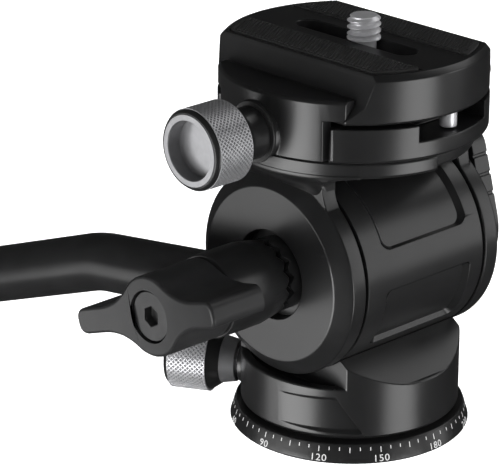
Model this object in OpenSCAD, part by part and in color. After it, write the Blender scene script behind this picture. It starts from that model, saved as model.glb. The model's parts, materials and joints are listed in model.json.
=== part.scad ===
// Fluid video head: panning base, damped tilt drum, side handle and dovetail quick-release clamp.
// Millimetres, +Z up, origin at the centre of the tripod face. The front of the head faces -Y,
// and the handle, the wing knob and the clamp knob are on the -X side.

/* [Base and dial] */
// Radius of the dial ring where it meets the tripod
dial_r = 23.4; // [21.5:0.1:24.5]
// Radius of the dial ring at its top edge
dial_top_r = 22.3; // [20.5:0.1:23]
// Height of the dial ring
dial_h = 3.9; // [3.6:0.1:6]
// Radius of the tapped tripod hole, the tap drill of a 3/8 inch thread
tripod_hole_r = 3.97; // [3.2:0.01:4.4]
// Depth of the tapped tripod hole
tripod_hole_h = 10; // [8:0.1:11]
// Wall of the steel thread insert
insert_wall = 2.48; // [1.8:0.02:2.8]
// Wall of the spindle around the insert
spindle_wall = 3.5; // [3.4:0.1:4.2]
// Thickness of the spindle's foot flange
spindle_flange_h = 1.4; // [1:0.1:2]
// How far the foot flange stands out from the spindle
spindle_flange_out = 3.5; // [2.5:0.1:4]
// Thickness of the retaining cap on the spindle
spindle_cap_h = 2; // [1.8:0.1:3]
// Thickness of the sliding ring between dial and housing
glide_h = 0.5; // [0.3:0.1:1]

/* [Pan housing] */
// Radius of the pan housing
housing_r = 21.3; // [20.5:0.1:21.8]
// Height of the plain bearing inside the housing
pan_bearing_h = 8.1; // [8:0.1:10]
// Height of the open lip below the cheeks, above the housing's underside
lip_h = 10.2; // [9.5:0.1:11]
// Wall of the lip
lip_wall = 1.8; // [1.2:0.1:2.6]
// Depth of the pocket inside the lip
pocket_depth = 1.6; // [0.8:0.1:2]
// Slope of the front and back shelves
shelf_slope = 34.6; // [30:0.2:38]
// Distance of the shelf's top edge from the middle of the head
shelf_edge_y = 12.6; // [11.5:0.1:13.5]
// Depth of the recessed panels on drum and housing
panel_depth = 0.9; // [0.5:0.1:1.1]

/* [Tilt drum] */
// Radius of the tilt drum
drum_r = 19.9; // [19.4:0.1:20.6]
// Width of the tilt drum
drum_w = 31.2; // [30.6:0.1:32.6]
// Wall of the drum around the damper chamber
drum_wall = 5.4; // [5:0.1:5.8]
// Thickness of the drum's closed left wall
drum_end_h = 4.5; // [3.5:0.1:5.5]
// Thickness of the drum cover
cover_h = 2; // [1.6:0.1:2.1]
// Radius of the tilt axle
axle_r = 5; // [4.6:0.05:5.2]
// Wall of the axle bushes
bush_wall = 1.25; // [1:0.05:1.4]
// Radius of the threaded boss that carries the tilt lock knob
boss_r = 7.5; // [7.2:0.1:8]
// Width of the recessed panels on the drum
panel_w = 22.8; // [18:0.1:24]

/* [Cradle] */
// Width of a cheek, from its inner face to the end of its round rim
cheek_rim_w = 3.35; // [3:0.05:4]
// Width of the bevel between the rim and the flat face
cheek_bevel_w = 2.2; // [1.6:0.05:2.6]
// Radius of a cheek's flat face
cheek_face_r = 17; // [15:0.1:18]
// Radius of the handle's recess in the left cheek
recess_r = 8.63; // [8.4:0.01:10]
// Depth of the handle's recess
recess_h = 2.5; // [2.3:0.05:2.8]
// How far the round platform lies inside the clamp's edge
platform_inset = 1.1; // [0.6:0.1:2]
// How far the platform's right part lies inside its left part
platform_step = 1.5; // [1:0.1:2]
// Width of an arm at its waist, just below the platform
arm_waist = 23.1; // [20:0.1:26]
// Thickness of the platform
platform_h = 3.3; // [3:0.1:4.5]
// Air between the drum and the platform
platform_gap = 2.2; // [1.6:0.1:3]
// Gap between a cheek and the drum, filled by a washer
cheek_gap = 0.75; // [0.5:0.05:1]

/* [Tilt lock knob] */
// Radius of the tilt lock knob's round foot, and distance of its straight sides from the axis
tilt_knob_r = 14.3; // [14:0.1:15]
// Reach of the tilt lock knob above its axis
tilt_knob_reach = 20.2; // [19:0.1:20.5]
// Width of the tilt lock knob
tilt_knob_w = 4; // [3.6:0.1:5]
// Number of grooves on each straight side of the tilt lock knob
tilt_knob_grooves = 3; // [2:1:3]

/* [Clamp and plate] */
// Radius of the clamp
clamp_r = 25.6; // [25:0.1:26]
// Height of the clamp's floor
clamp_floor_h = 6.6; // [6.4:0.1:8]
// Height of the jaw lips above the clamp's floor
lip_top_h = 5.2; // [4.8:0.1:6]
// Half width of the plate's dovetail at its foot
dovetail_half = 19.2; // [18.8:0.1:19.5]
// Half width of the plate's waist above the dovetail
waist_half = 16.7; // [16.3:0.1:17]
// Half width of the plate's top
plate_top_half = 15; // [14.6:0.1:15.6]
// How far the plate's round ends lie inside the clamp's edge
plate_inset = 0.1; // [0:0.1:0.6]
// Height of the plate
plate_h = 9.3; // [8.8:0.1:10]
// Gap between the plate and the clamp's floor
plate_gap = 0.6; // [0.3:0.1:0.9]
// Width of the slot for the camera screw
slot_w = 5; // [4.9:0.1:5.6]
// Front end of the slot
slot_front = 15.5; // [13:0.1:17]
// Back end of the slot
slot_back = 14.5; // [13:0.1:17]
// Outer edge of a rubber pad, from the middle
pad_outer = 14.1; // [13:0.1:14.3]
// Inner edge of a rubber pad, from the middle
pad_inner = 6; // [4.5:0.1:8]
// How far a pad stands above the plate
pad_proud = 0.5; // [0.2:0.1:1]
// Half length of the movable jaw's foot
jaw_half = 13.4; // [12.5:0.1:14]
// Half length of the movable jaw's lip
jaw_lip_half = 16.8; // [15.5:0.1:17.5]
// How far the plate can slide either way before its stop pins meet the clamp
plate_travel = 2.5; // [1:0.1:3]

/* [Clamp knob] */
// Radius of the clamp knob
clamp_knob_r = 7.65; // [7:0.05:8]
// Length of the clamp knob's knurled part
clamp_knob_w = 8.7; // [7:0.1:9.2]
// Length of the clamp knob's neck
clamp_neck_w = 6.8; // [5:0.1:7.5]
// Radius of the clamp knob's neck
clamp_neck_r = 5; // [4.4:0.1:5.6]
// Radius of the clamp screw
clamp_screw_r = 3; // [2.5:0.05:3.2]

/* [Camera screw] */
// Radius of the 1/4 inch camera thread
camera_thread_r = 3.175; // [3.1:0.005:3.3]
// Height of the camera thread above the plate
camera_thread_h = 4.6; // [4:0.1:7]
// Distance of the camera screw in front of the middle
camera_screw_y = 2.5; // [0:0.1:5]

/* [Handle] */
// Radius of the handle tube
rod_r = 5.7; // [5.2:0.05:5.8]
// Wall of the handle tube
rod_wall = 1.5; // [1:0.1:2]
// Clear space between the handle tube and the dial ring
rod_clear = 1.4; // [1.2:0.05:2.6]
// Downward slope of the tube's first stretch
rod_slope_1 = 8.6; // [4:0.1:12]
// Downward slope of the tube after its bend
rod_slope_2 = 20.5; // [15:0.1:28]
// Length of the tube from the tilt axis to its bend
rod_length_1 = 35; // [32:0.5:45]
// Length of the tube behind its bend
rod_length_2 = 124; // [110:1:150]
// Radius of the bend
rod_bend_r = 32; // [20:1:45]
// Radius of the handle hub
hub_r = 8; // [7.4:0.05:8.2]
// Length of the rubber grip
grip_length = 80; // [60:1:90]
// Largest radius of the rubber grip
grip_r = 9.4; // [8.4:0.1:10.5]

/* [Wing knob] */
// Radius of the wing knob's hub
wing_hub_r = 7.6; // [7:0.1:8]
// Reach of a wing from the axis
wing_reach = 19.4; // [17:0.1:20]
// Half thickness of a wing
wing_half = 2.5; // [2:0.1:3]
// Depth of the wing knob at its hub
wing_depth = 13.3; // [11:0.1:14]
// Radius of the concave blend between hub and wing
wing_blend_r = 12; // [9:0.5:15]
// How far the wing tips lean forward of the hub
wing_lean = 1.5; // [0.8:0.1:2]
// Turn of the wings at rest, about the tilt axis
wing_turn = 18.5; // [0:0.5:40]
// Radius of the wing bolt
wing_bolt_r = 3; // [2.6:0.05:3.1]

/* [Pan lock knob] */
// Direction of the pan lock knob, turned from the handle side towards the back
pan_knob_turn = 60; // [59:0.5:66]
// Radius of the pan lock knob
pan_knob_r = 6.75; // [6.2:0.05:7.1]
// Length of the pan lock knob's knurled part
pan_knob_w = 8.75; // [7:0.05:9.2]
// Length of the bright neck
pan_neck_w = 3; // [2.2:0.1:3.2]
// Length of the cone behind the knurl
pan_cone_w = 2.25; // [1.6:0.05:2.8]
// Radius of the pan lock screw
pan_screw_r = 2.5; // [2:0.05:2.6]

/* [Hidden] */
$fn = 96;
fit = 0.05;            // radial clearance of parts that turn or slide in a bore
seat = 0.02;           // radial clearance of parts that are fixed in a bore
air = 0.3;             // clearance of parts that pass each other without touching
end_gap = 0.1;         // air at the end of a fixed part
screw_rest = 0.2;      // air past the end of a screw in its hole
screw_sink = 0.2;      // how far a screw head lies below its face
cut = 1;               // how far a cutting shape runs past the face it cuts
edge = 0.5;            // small edge bevel

black = [0.07, 0.07, 0.075];
satin = [0.16, 0.16, 0.165];
gunmetal = [0.36, 0.36, 0.37];
steel = [0.72, 0.72, 0.74];
brass = [0.70, 0.55, 0.25];
rubber = [0.04, 0.04, 0.04];
nylon = [0.85, 0.85, 0.82];

// Heights of the panning stack
insert_r = tripod_hole_r + insert_wall;
spindle_bore_r = insert_r + seat;
spindle_r = spindle_bore_r + spindle_wall;
flange_r = spindle_r + spindle_flange_out;
housing_z = dial_h + glide_h;
shelf_z = housing_z + pan_bearing_h;
thrust_h = 0.5;
spindle_top = shelf_z + thrust_h;
cap_top = spindle_top + spindle_cap_h;
cap_overhang = 3;
cap_r = spindle_r + cap_overhang;
well_clear = 0.5;
drum_clear = 0.6;
well_r = cap_r + well_clear;
well_h = cap_top + drum_clear + well_clear - shelf_z;
glide_inset = 1.3;
lip_z = housing_z + lip_h;
lip_clear = 0.8;
cheek_over = 0.1;
cheek_r = drum_r + cheek_over;
axis_z = max(cap_top + drum_clear + drum_r, lip_z + lip_clear + cheek_r);
small_screw_r = 1;
small_head_r = 1.65;
small_head_h = 1.2;
small_screw_inset = 1.4;
spindle_screw_ring = spindle_r - small_screw_inset;
base_screw_deep = 5;
cap_screw_deep = 4;

// Drum, axle and damper along X
drum_half = drum_w / 2;
chamber_r = drum_r - drum_wall;
chamber_left = -drum_half + drum_end_h;
cover_left = drum_half - cover_h;
cover_ledge = 3.25;
cover_r = chamber_r + cover_ledge;
cover_screw_r = 1;
cover_screw_deep = 5;
cover_head_r = 1.6;
cover_head_h = 1;
cover_screw_ring = cover_r - cover_head_r - end_gap;
bush_r = axle_r + fit + bush_wall;
bush_flange_h = 0.8;
bush_flange_w = 2;
seal_h = 1.2;
seal_lip = 0.6;
rotor_hub_wall = 2;
rotor_hub_r = axle_r + rotor_hub_wall;
rotor_clear = 0.7;
rotor_disc_h = 2;
stator_disc_h = 3;
damper_left = chamber_left + bush_flange_h + seal_h + air;
damper_right = cover_left - seal_h - air;
damper_step = (damper_right - damper_left) / 5;
panel_x = 0.7;
upper_panel_turn = 45;
upper_panel_h = 16.8;
upper_panel_corner = 2.5;
lower_panel_turn = 111;
lower_panel_h = 12.8;
lower_panel_corner = 1.5;
drum_screw_inset = 1.6;
drum_screw_x = cover_left - drum_screw_inset;
drum_screw_y = 9;
drum_screw_r = 1.5;
drum_screw_head_r = 2.6;
drum_screw_head_h = 2.5;
drum_screw_sink = 0.5;
drum_screw_seat = housing_z + drum_screw_sink;
drum_screw_wall = 0.6;
drum_screw_top = axis_z - sqrt(pow(chamber_r, 2) - pow(drum_screw_y - drum_screw_r, 2)) - drum_screw_wall;

// Cradle
platform_r = clamp_r - platform_inset;
cheek_inner = drum_half + cheek_gap;
cheek_rim = cheek_inner + cheek_rim_w;
cheek_face = cheek_rim + cheek_bevel_w;
swing_clear = 0.8;
platform_under = max(drum_r + platform_gap, housing_r + swing_clear);
platform_z = axis_z + platform_under;
clamp_z = platform_z + platform_h;
recess_floor = cheek_face - recess_h;
platform_split = 2.6;
arm_inset = 0.05;
left_arm_r = platform_r - arm_inset;
right_arm_r = left_arm_r - platform_step;
flare_h = 2.2;
flare_z = platform_z - flare_h;
flare_steps = 10;
arm_waist_half = arm_waist / 2;
arm_foot_inset = 0.2;
arm_foot_r = cheek_r - arm_foot_inset;
arm_rise = platform_under - flare_h;
arm_hollow_reach = pow(arm_rise, 2) + pow(arm_waist_half, 2) - pow(arm_foot_r, 2);
arm_hollow_r = arm_hollow_reach / (2 * (arm_foot_r - arm_waist_half));
bolt_deep = 2.6;

// Tilt lock, stacked outwards from the right cheek
tilt_lock_travel = 0.25;
brake_washer_h = 0.8;
brake_washer_w = 5.5;
brake_washer_r = boss_r + brake_washer_w;
brake_washer_show = 0.35;
brake_x = cheek_face + tilt_lock_travel;
tilt_knob_x = brake_x + brake_washer_show;
tilt_knob_end = tilt_knob_x + tilt_knob_w;
retainer_h = 0.9;
retainer_sink = 0.2;
retainer_room = 0.5;
retainer_lip = 2;
retainer_plug = 2.6;
retainer_r = boss_r + retainer_lip;
boss_end = tilt_knob_end - retainer_sink - retainer_h;
axle_end = boss_end - retainer_plug - air;

// Clamp, plate and jaw
floor_z = clamp_z + clamp_floor_h;
lip_top = floor_z + lip_top_h;
clamp_axis_h = 3.8;
clamp_axis_z = clamp_z + clamp_axis_h;
plate_z = floor_z + plate_gap;
plate_top = plate_z + plate_h;
dovetail_foot_h = 0.95;
dovetail_slope_h = dovetail_half - waist_half;
jaw_clear = 0.12;
plate_r = clamp_r - plate_inset;
notch_depth = 10.6;
notch_x = clamp_r - notch_depth;
jaw_gap = 0.5;
jaw_inner = notch_x + jaw_gap;
jaw_lift = 0.2;
jaw_bottom = clamp_z + jaw_lift;
jaw_slit = 0.8;
jaw_inset = 0.1;
jaw_outer_r = clamp_r - jaw_inset;
jaw_shelf_drop = 0.8;
jaw_lip_lap = 0.2;
jaw_boss_proud = 0.3;
jaw_boss_x = clamp_r + jaw_boss_proud;
jaw_boss_rim = 0.8;
jaw_boss_r = clamp_neck_r + jaw_boss_rim;
jaw_washer_h = 0.5;
jaw_washer_x = jaw_boss_x + jaw_washer_h;
bolt_r = 2;
bolt_head_r = 2.9;
bolt_head_h = 3;
bolt_hex_r = 1.6;
bolt_hex_h = 1.8;
bolt_inset = 7.4;
bolt_ring = clamp_r - bolt_inset;
bolt_turns = [42, 125, 235, 318];
guide_pin_r = 1.95;
// The guide pins stand midway between the clamp screw and the bolts
guide_pin_y = (clamp_screw_r + bolt_ring * sin(bolt_turns[1]) - bolt_head_r) / 2;
guide_pin_sunk = 8.5;
guide_pin_proud = 6.5;
guide_pin_in = notch_x - guide_pin_sunk;
guide_pin_out = notch_x + guide_pin_proud;
spring_room_r = 2.85;
spring_room_h = 5.3;
spring_room_in = notch_x - spring_room_h;
clamp_screw_in = 1;
clamp_screw_room = 3;
clamp_screw_hold = 5;
stop_pin_r = 1.6;
stop_pin_x = 2.4;
stop_pin_inset = 3.5;
stop_pin_y = plate_r - stop_pin_inset;
stop_pin_deep = 3;
window_floor_h = 3.5;
window_floor = clamp_z + window_floor_h;
stop_pin_z = window_floor + air;
window_half = 9.5;
window_x = 1.75;
window_y = stop_pin_y - stop_pin_r - plate_travel - air;
pad_sink = 0.8;
pad_inset = 2;
pad_clear = 0.1;
pad_r = plate_r - pad_inset;

// Camera screw, from the channel under the plate upwards
channel_h = 5.1;
channel_top = plate_z + channel_h;
screw_head_r = 5.5;
channel_half = screw_head_r + air;
slider_clear = 0.2;
slider_h = 0.8;
slider_half = channel_half - slider_clear;
slider_z = channel_top - slider_clear - slider_h;
screw_head_h = 3;
coin_slot_w = 1.6;
coin_slot_h = 1.5;
neck_clear = 0.15;
screw_neck_r = slot_w / 2 - neck_clear;
thread_lift = 0.2;
thread_bevel = 0.6;
camera_thread_z = plate_top + thread_lift;
channel_front = slot_front - screw_neck_r + slider_half + air;
channel_back = slot_back - screw_neck_r + slider_half + air;

// Handle and wing knob, stacked outwards from the left cheek
rod_x = -(dial_r + rod_clear + rod_r);
hub_wall = 1.75;
hub_outer = rod_x - rod_r - hub_wall;
rosette_plate = 2.6;
tooth_h = 1.1;
tooth_gap = 0.3;
tooth_count = 14;
tooth_w = 2.6;
tooth_over = 0.2;
hub_taper = 0.8;
hub_taper_w = 5;
rosette_inset = 0.1;
rosette_r = hub_r - hub_taper - rosette_inset;
rosette_in_r = 5.9;
rosette_top = -(recess_floor + rosette_plate + tooth_h);
hub_inner = rosette_top - tooth_gap;
bolt_way_r = wing_bolt_r + air;
rod_start_wall = 1.2;
rod_start = bolt_way_r + rod_start_wall;
rod_bore_start = 20;
rod_bend = rod_slope_2 - rod_slope_1;
bend_swell = 0.04;
bend_lap = 1;
washer_h = 0.5;
washer_x = hub_outer - end_gap - washer_h;
wing_back = washer_x;
wing_face = wing_back - wing_depth;
wing_well_r = 5;
wing_well_h = 3.4;
bolt_cap_r = 4.7;
bolt_cap_h = 3;
socket_r = 2;
socket_h = 1.8;
wing_bolt_reach = 8;
wing_bolt_room = 2;
wing_bolt_end = wing_bolt_reach - cheek_inner;
end_cap_h = 2;
end_cap_plug = 10;
end_cap_rim = 0.8;
grip_end = rod_length_2 - end_cap_h;
grip_start = grip_end - grip_length;
grip_wall = 1.8;

// Pan lock, along its own axis outwards from the spindle
pan_knob_h = 4.25;
pan_knob_z = housing_z + pan_knob_h;
pan_travel = 0.5;
shoe_r = 2.2;
shoe_length = 4.4;
shoe_start = spindle_r + pan_travel + end_gap;
shoe_end = shoe_start + shoe_length;
lock_room = shoe_end - pan_travel - air;
lock_boss_r = 4.1;
lock_boss_proud = 0.6;
lock_boss_end = housing_r + lock_boss_proud;
lock_insert_wall = 1;
lock_insert_r = pan_screw_r + fit + lock_insert_wall;
pan_neck_r = 4.2;
pan_neck_swell = 0.6;
pan_neck_start = lock_boss_end + pan_travel + end_gap;
pan_cone_start = pan_neck_start + pan_neck_w;
pan_knurl_start = pan_cone_start + pan_cone_w;
pan_knob_end = pan_knurl_start + pan_knob_w;
pan_end_wall = 3;
pan_screw_end = pan_knob_end - pan_end_wall;

// A round bar along X between two places
module bar_x(x0, x1, r) {
    translate([min(x0, x1), 0, 0]) rotate([0, 90, 0]) cylinder(h = abs(x1 - x0), r = r);
}

// A cone along X, with its radius at each end
module cone_x(x0, r0, x1, r1) {
    translate([x0, 0, 0]) rotate([0, 90, 0]) cylinder(h = x1 - x0, r1 = r0, r2 = r1);
}

// A ring along X
module ring_x(x0, x1, r_out, r_in) {
    difference() {
        bar_x(x0, x1, r_out);
        bar_x(min(x0, x1) - cut, max(x0, x1) + cut, r_in);
    }
}

// A ring about Z
module ring_z(z0, z1, r_out, r_in) {
    difference() {
        translate([0, 0, z0]) cylinder(h = z1 - z0, r = r_out);
        translate([0, 0, z0 - cut]) cylinder(h = z1 - z0 + 2 * cut, r = r_in);
    }
}

// Extrudes an outline of X and Z along Y, to both sides of the middle
module along_y(half) {
    translate([0, half, 0]) rotate([90, 0, 0]) linear_extrude(2 * half) children();
}

// A flat rectangle with round corners, centred
module round_rect(w, h, r) {
    square([w - 2 * r, h], center = true);
    square([w, h - 2 * r], center = true);
    for (sx = [-1, 1], sy = [-1, 1]) translate([sx * (w / 2 - r), sy * (h / 2 - r)]) circle(r);
}

// Places its children on the tilt axis
module at_tilt_axis() {
    translate([0, 0, axis_z]) children();
}

// Places its children on the clamp screw's axis
module at_clamp_axis() {
    translate([0, 0, clamp_axis_z]) children();
}

// Places its children so that Z runs outwards along the pan lock's axis
module at_pan_lock() {
    translate([0, 0, pan_knob_z]) rotate([0, 0, 180 - pan_knob_turn]) rotate([0, 90, 0]) children();
}

// A cap screw, head down at z = 0, its shank pointing up
module cap_screw(head_r, head_h, shank_r, length) {
    cylinder(h = head_h, r = head_r);
    cylinder(h = head_h + length, r = shank_r);
}

// Base: fixed on the tripod

module dial_base() {
    color(black) difference() {
        rotate_extrude() polygon([
            [0, 0], [dial_r - edge, 0], [dial_r, edge], [dial_top_r + edge / 4, dial_h - edge / 2],
            [dial_top_r - edge / 4, dial_h], [0, dial_h]
        ]);
        translate([0, 0, -cut]) cylinder(h = dial_h + 2 * cut, r = spindle_bore_r);
        translate([0, 0, dial_h - spindle_flange_h])
            cylinder(h = spindle_flange_h + cut, r = flange_r + seat);
        base_screw_places() translate([0, 0, -cut]) {
            cylinder(h = dial_h + cut, r = small_screw_r + fit);
            cylinder(h = cut + small_head_h + screw_sink, r = small_head_r + fit);
        }
    }
}

module base_screw_places() {
    for (i = [0 : 2]) rotate([0, 0, 120 * i]) translate([spindle_screw_ring, 0, 0]) children();
}

module tripod_insert() {
    color(steel) ring_z(0, tripod_hole_h, insert_r, tripod_hole_r);
}

module pan_spindle() {
    foot = dial_h - spindle_flange_h;
    color(gunmetal) difference() {
        union() {
            translate([0, 0, foot]) cylinder(h = spindle_flange_h, r = flange_r);
            translate([0, 0, foot]) cylinder(h = spindle_top - foot, r = spindle_r);
        }
        translate([0, 0, foot - cut])
            cylinder(h = tripod_hole_h + end_gap - foot + cut, r = spindle_bore_r);
        base_screw_places() translate([0, 0, foot - cut])
            cylinder(h = base_screw_deep + cut, r = small_screw_r + seat);
        cap_screw_places() translate([0, 0, spindle_top - cap_screw_deep])
            cylinder(h = cap_screw_deep + cut, r = small_screw_r + seat);
    }
}

module cap_screw_places() {
    rotate([0, 0, 60]) base_screw_places() children();
}

module base_screws() {
    top = dial_h - spindle_flange_h + base_screw_deep - screw_rest;
    length = top - screw_sink - small_head_h;
    color(steel) base_screw_places() translate([0, 0, screw_sink])
        cap_screw(small_head_r, small_head_h, small_screw_r, length);
}

module pan_glide_ring() {
    color(nylon) ring_z(dial_h, housing_z, housing_r - glide_inset, flange_r + air);
}

module pan_thrust_washer() {
    color(nylon) ring_z(shelf_z, spindle_top, cap_r, spindle_r + fit);
}

module spindle_cap() {
    color(gunmetal) difference() {
        translate([0, 0, spindle_top]) cylinder(h = spindle_cap_h, r = cap_r);
        cap_screw_places() {
            translate([0, 0, spindle_top - cut])
                cylinder(h = spindle_cap_h + 2 * cut, r = small_screw_r + fit);
            translate([0, 0, cap_top - small_head_h])
                cylinder(h = small_head_h + cut, r = small_head_r + fit);
        }
    }
}

module spindle_cap_screws() {
    length = spindle_cap_h - small_head_h + cap_screw_deep - screw_rest;
    color(steel) cap_screw_places() translate([0, 0, cap_top]) rotate([180, 0, 0])
        cap_screw(small_head_r, small_head_h, small_screw_r, length);
}

// Pan body: turns on the spindle

module pan_housing() {
    lip_round = 0.25;
    color(black) difference() {
        union() {
            rotate_extrude() polygon([
                [0, housing_z], [housing_r - edge, housing_z], [housing_r, housing_z + edge],
                [housing_r, lip_z - lip_round], [housing_r - lip_round, lip_z], [0, lip_z]
            ]);
            intersection() {
                translate([0, 0, housing_z + edge]) cylinder(h = axis_z, r = housing_r);
                rotate([90, 0, 90]) translate([0, 0, -drum_half]) linear_extrude(drum_w) shelf_outline();
            }
            at_pan_lock() translate([0, 0, well_r]) cylinder(h = lock_boss_end - well_r, r = lock_boss_r);
        }
        cheek_pocket();
        mirror([1, 0, 0]) cheek_pocket();
        at_tilt_axis() bar_x(-drum_half - cut, drum_half + cut, drum_r + seat);
        translate([0, 0, housing_z - cut]) cylinder(h = pan_bearing_h + 2 * cut, r = spindle_r + fit);
        translate([0, 0, shelf_z]) cylinder(h = well_h, r = well_r);
        drum_screw_places() translate([0, 0, housing_z - cut]) {
            cylinder(h = axis_z, r = drum_screw_r + seat);
            cylinder(h = cut + drum_screw_sink + drum_screw_head_h, r = drum_screw_head_r + seat);
        }
        at_pan_lock() {
            cylinder(h = lock_boss_end + cut, r = shoe_r + fit);
            translate([0, 0, lock_room])
                cylinder(h = lock_boss_end - lock_room + cut, r = lock_insert_r + seat);
        }
        housing_panel();
    }
}

// The block's outline from the side: level under the drum, sloping at the front and the back
module shelf_outline() {
    edge_z = axis_z - sqrt(pow(drum_r, 2) - pow(shelf_edge_y, 2));
    reach = housing_r + cut;
    drop = (reach - shelf_edge_y) * tan(shelf_slope);
    polygon([
        [-reach, housing_z + edge], [reach, housing_z + edge], [reach, edge_z - drop],
        [shelf_edge_y, edge_z], [-shelf_edge_y, edge_z], [-reach, edge_z - drop]
    ]);
}

module cheek_pocket() {
    intersection() {
        translate([0, 0, lip_z - pocket_depth]) cylinder(h = axis_z, r = housing_r - lip_wall);
        translate([drum_half, -housing_r, 0]) cube([housing_r, 2 * housing_r, 2 * axis_z]);
    }
}

// The shallow panel below the left cheek: it fades out at the back and has a slanting front edge
module housing_panel() {
    direction = 207;
    fade = 187;
    shift = panel_depth / sin(45);
    bottom = housing_z + 1.8;
    top = lip_z - 2.4;
    wall = 2 * shift;
    left = -8;
    right = 9.5;
    slant = 6.9;
    intersection() {
        rotate([0, 0, fade]) translate([0, -shift, 0]) rotate_extrude() polygon([
            [housing_r, bottom], [housing_r + wall, bottom - wall],
            [housing_r + wall, top + wall], [housing_r, top]
        ]);
        rotate([0, 0, direction]) rotate([90, 0, 90]) linear_extrude(housing_r + cut)
            polygon([[left, housing_z], [right, housing_z], [right - slant, lip_z], [left, lip_z]]);
    }
}

module drum_screw_places() {
    for (sx = [-1, 1], sy = [-1, 1]) translate([sx * drum_screw_x, sy * drum_screw_y, 0]) children();
}

module drum_screws() {
    color(steel) drum_screw_places() translate([0, 0, drum_screw_seat])
        cap_screw(drum_screw_head_r, drum_screw_head_h, drum_screw_r,
            drum_screw_top - drum_screw_seat - drum_screw_head_h);
}

module pan_lock_insert() {
    color(brass) at_pan_lock() difference() {
        translate([0, 0, shoe_end + end_gap])
            cylinder(h = lock_boss_end - shoe_end - end_gap, r = lock_insert_r);
        cylinder(h = lock_boss_end + cut, r = pan_screw_r + fit);
    }
}

// A recessed panel on the drum, at a turn from the top towards the front, with sloping ends
module drum_panel(turn, height, corner) {
    end_slope = 0.7;
    floor_half = panel_w / 2 - end_slope * panel_depth;
    top_half = panel_w / 2 + end_slope * cut;
    translate([panel_x, 0, 0]) intersection() {
        rotate([0, 90, 0]) rotate_extrude() polygon([
            [drum_r - panel_depth, -floor_half], [drum_r + cut, -top_half],
            [drum_r + cut, top_half], [drum_r - panel_depth, floor_half]
        ]);
        rotate([turn, 0, 0]) linear_extrude(drum_r + cut) round_rect(panel_w + edge, height, corner);
    }
}

module tilt_drum() {
    color(black) difference() {
        at_tilt_axis() difference() {
            bar_x(-drum_half, drum_half, drum_r);
            bar_x(chamber_left, drum_half + cut, chamber_r);
            bar_x(cover_left, drum_half + cut, cover_r + seat);
            bar_x(-drum_half - cut, chamber_left + cut, bush_r + seat);
            cover_screw_places()
                bar_x(cover_left - cover_screw_deep, cover_left + cut, cover_screw_r + seat);
            drum_panel(upper_panel_turn, upper_panel_h, upper_panel_corner);
            drum_panel(lower_panel_turn, lower_panel_h, lower_panel_corner);
        }
        drum_screw_places() cylinder(h = drum_screw_top + screw_rest, r = drum_screw_r + seat);
    }
}

module cover_screw_places() {
    for (i = [0 : 3]) rotate([45 + 90 * i, 0, 0]) translate([0, 0, cover_screw_ring]) children();
}

module drum_cover() {
    color(gunmetal) at_tilt_axis() difference() {
        union() {
            bar_x(cover_left, drum_half, cover_r);
            bar_x(cover_left, boss_end, boss_r);
        }
        bar_x(cover_left - cut, boss_end + cut, bush_r + seat);
        cover_screw_places() {
            bar_x(cover_left - cut, drum_half + cut, cover_screw_r + fit);
            bar_x(drum_half - cover_head_h, drum_half + cut, cover_head_r + fit);
        }
    }
}

module drum_cover_screws() {
    color(steel) at_tilt_axis() cover_screw_places() {
        bar_x(drum_half - cover_head_h, drum_half - screw_sink, cover_head_r);
        bar_x(cover_left - cover_screw_deep + screw_rest, drum_half - screw_sink, cover_screw_r);
    }
}

module axle_bush_left() {
    color(brass) at_tilt_axis() difference() {
        union() {
            bar_x(-drum_half, chamber_left, bush_r);
            bar_x(chamber_left, chamber_left + bush_flange_h, bush_r + bush_flange_w);
        }
        bar_x(-drum_half - cut, chamber_left + bush_flange_h + cut, axle_r + fit);
    }
}

module axle_bush_right() {
    color(brass) at_tilt_axis() ring_x(cover_left, axle_end, bush_r, axle_r + fit);
}

module axle_seals() {
    left = chamber_left + bush_flange_h;
    color(rubber) at_tilt_axis() {
        ring_x(left, left + seal_h, rotor_hub_r + seal_lip, axle_r + fit);
        ring_x(cover_left - seal_h, cover_left, rotor_hub_r + seal_lip, axle_r + fit);
    }
}

module damper_stator_rings() {
    color(gunmetal) at_tilt_axis() for (i = [2, 4]) translate([damper_left + i * damper_step, 0, 0])
        ring_x(-stator_disc_h / 2, stator_disc_h / 2, chamber_r - seat, rotor_hub_r + air);
}

module tilt_washer_left() {
    color(nylon) at_tilt_axis() ring_x(-cheek_inner, -drum_half, chamber_r, boss_r + air);
}

module tilt_washer_right() {
    color(nylon) at_tilt_axis() ring_x(drum_half, cheek_inner, chamber_r, boss_r + air);
}

module tilt_knob_retainer() {
    color(gunmetal) at_tilt_axis() {
        bar_x(boss_end, boss_end + retainer_h, retainer_r);
        bar_x(boss_end - retainer_plug, boss_end, bush_r);
    }
}

// Pan lock: the shoe slides in as the knob is turned

module pan_brake_shoe() {
    color(brass) at_pan_lock() translate([0, 0, shoe_start]) cylinder(h = shoe_length, r = shoe_r);
}

module pan_lock_screw() {
    color(steel) at_pan_lock() translate([0, 0, shoe_end])
        cylinder(h = pan_screw_end - shoe_end, r = pan_screw_r);
}

module pan_lock_knob() {
    bevel = 1;
    dish_h = 0.8;
    dish_rim = 2.2;
    color(gunmetal) at_pan_lock() difference() {
        rotate_extrude() polygon([
            [0, pan_neck_start], [pan_neck_r, pan_neck_start], [pan_neck_r + pan_neck_swell, pan_cone_start],
            [pan_knob_r - bevel / 2, pan_knurl_start - edge], [pan_knob_r, pan_knurl_start],
            [pan_knob_r, pan_knob_end - bevel], [pan_knob_r - bevel, pan_knob_end], [0, pan_knob_end]
        ]);
        cylinder(h = pan_screw_end, r = pan_screw_r + seat);
        translate([0, 0, pan_knob_end - dish_h]) cylinder(h = dish_h + cut, r = pan_knob_r - dish_rim);
    }
}

// Tilt lock: the washer slides in as the knob is turned

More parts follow.
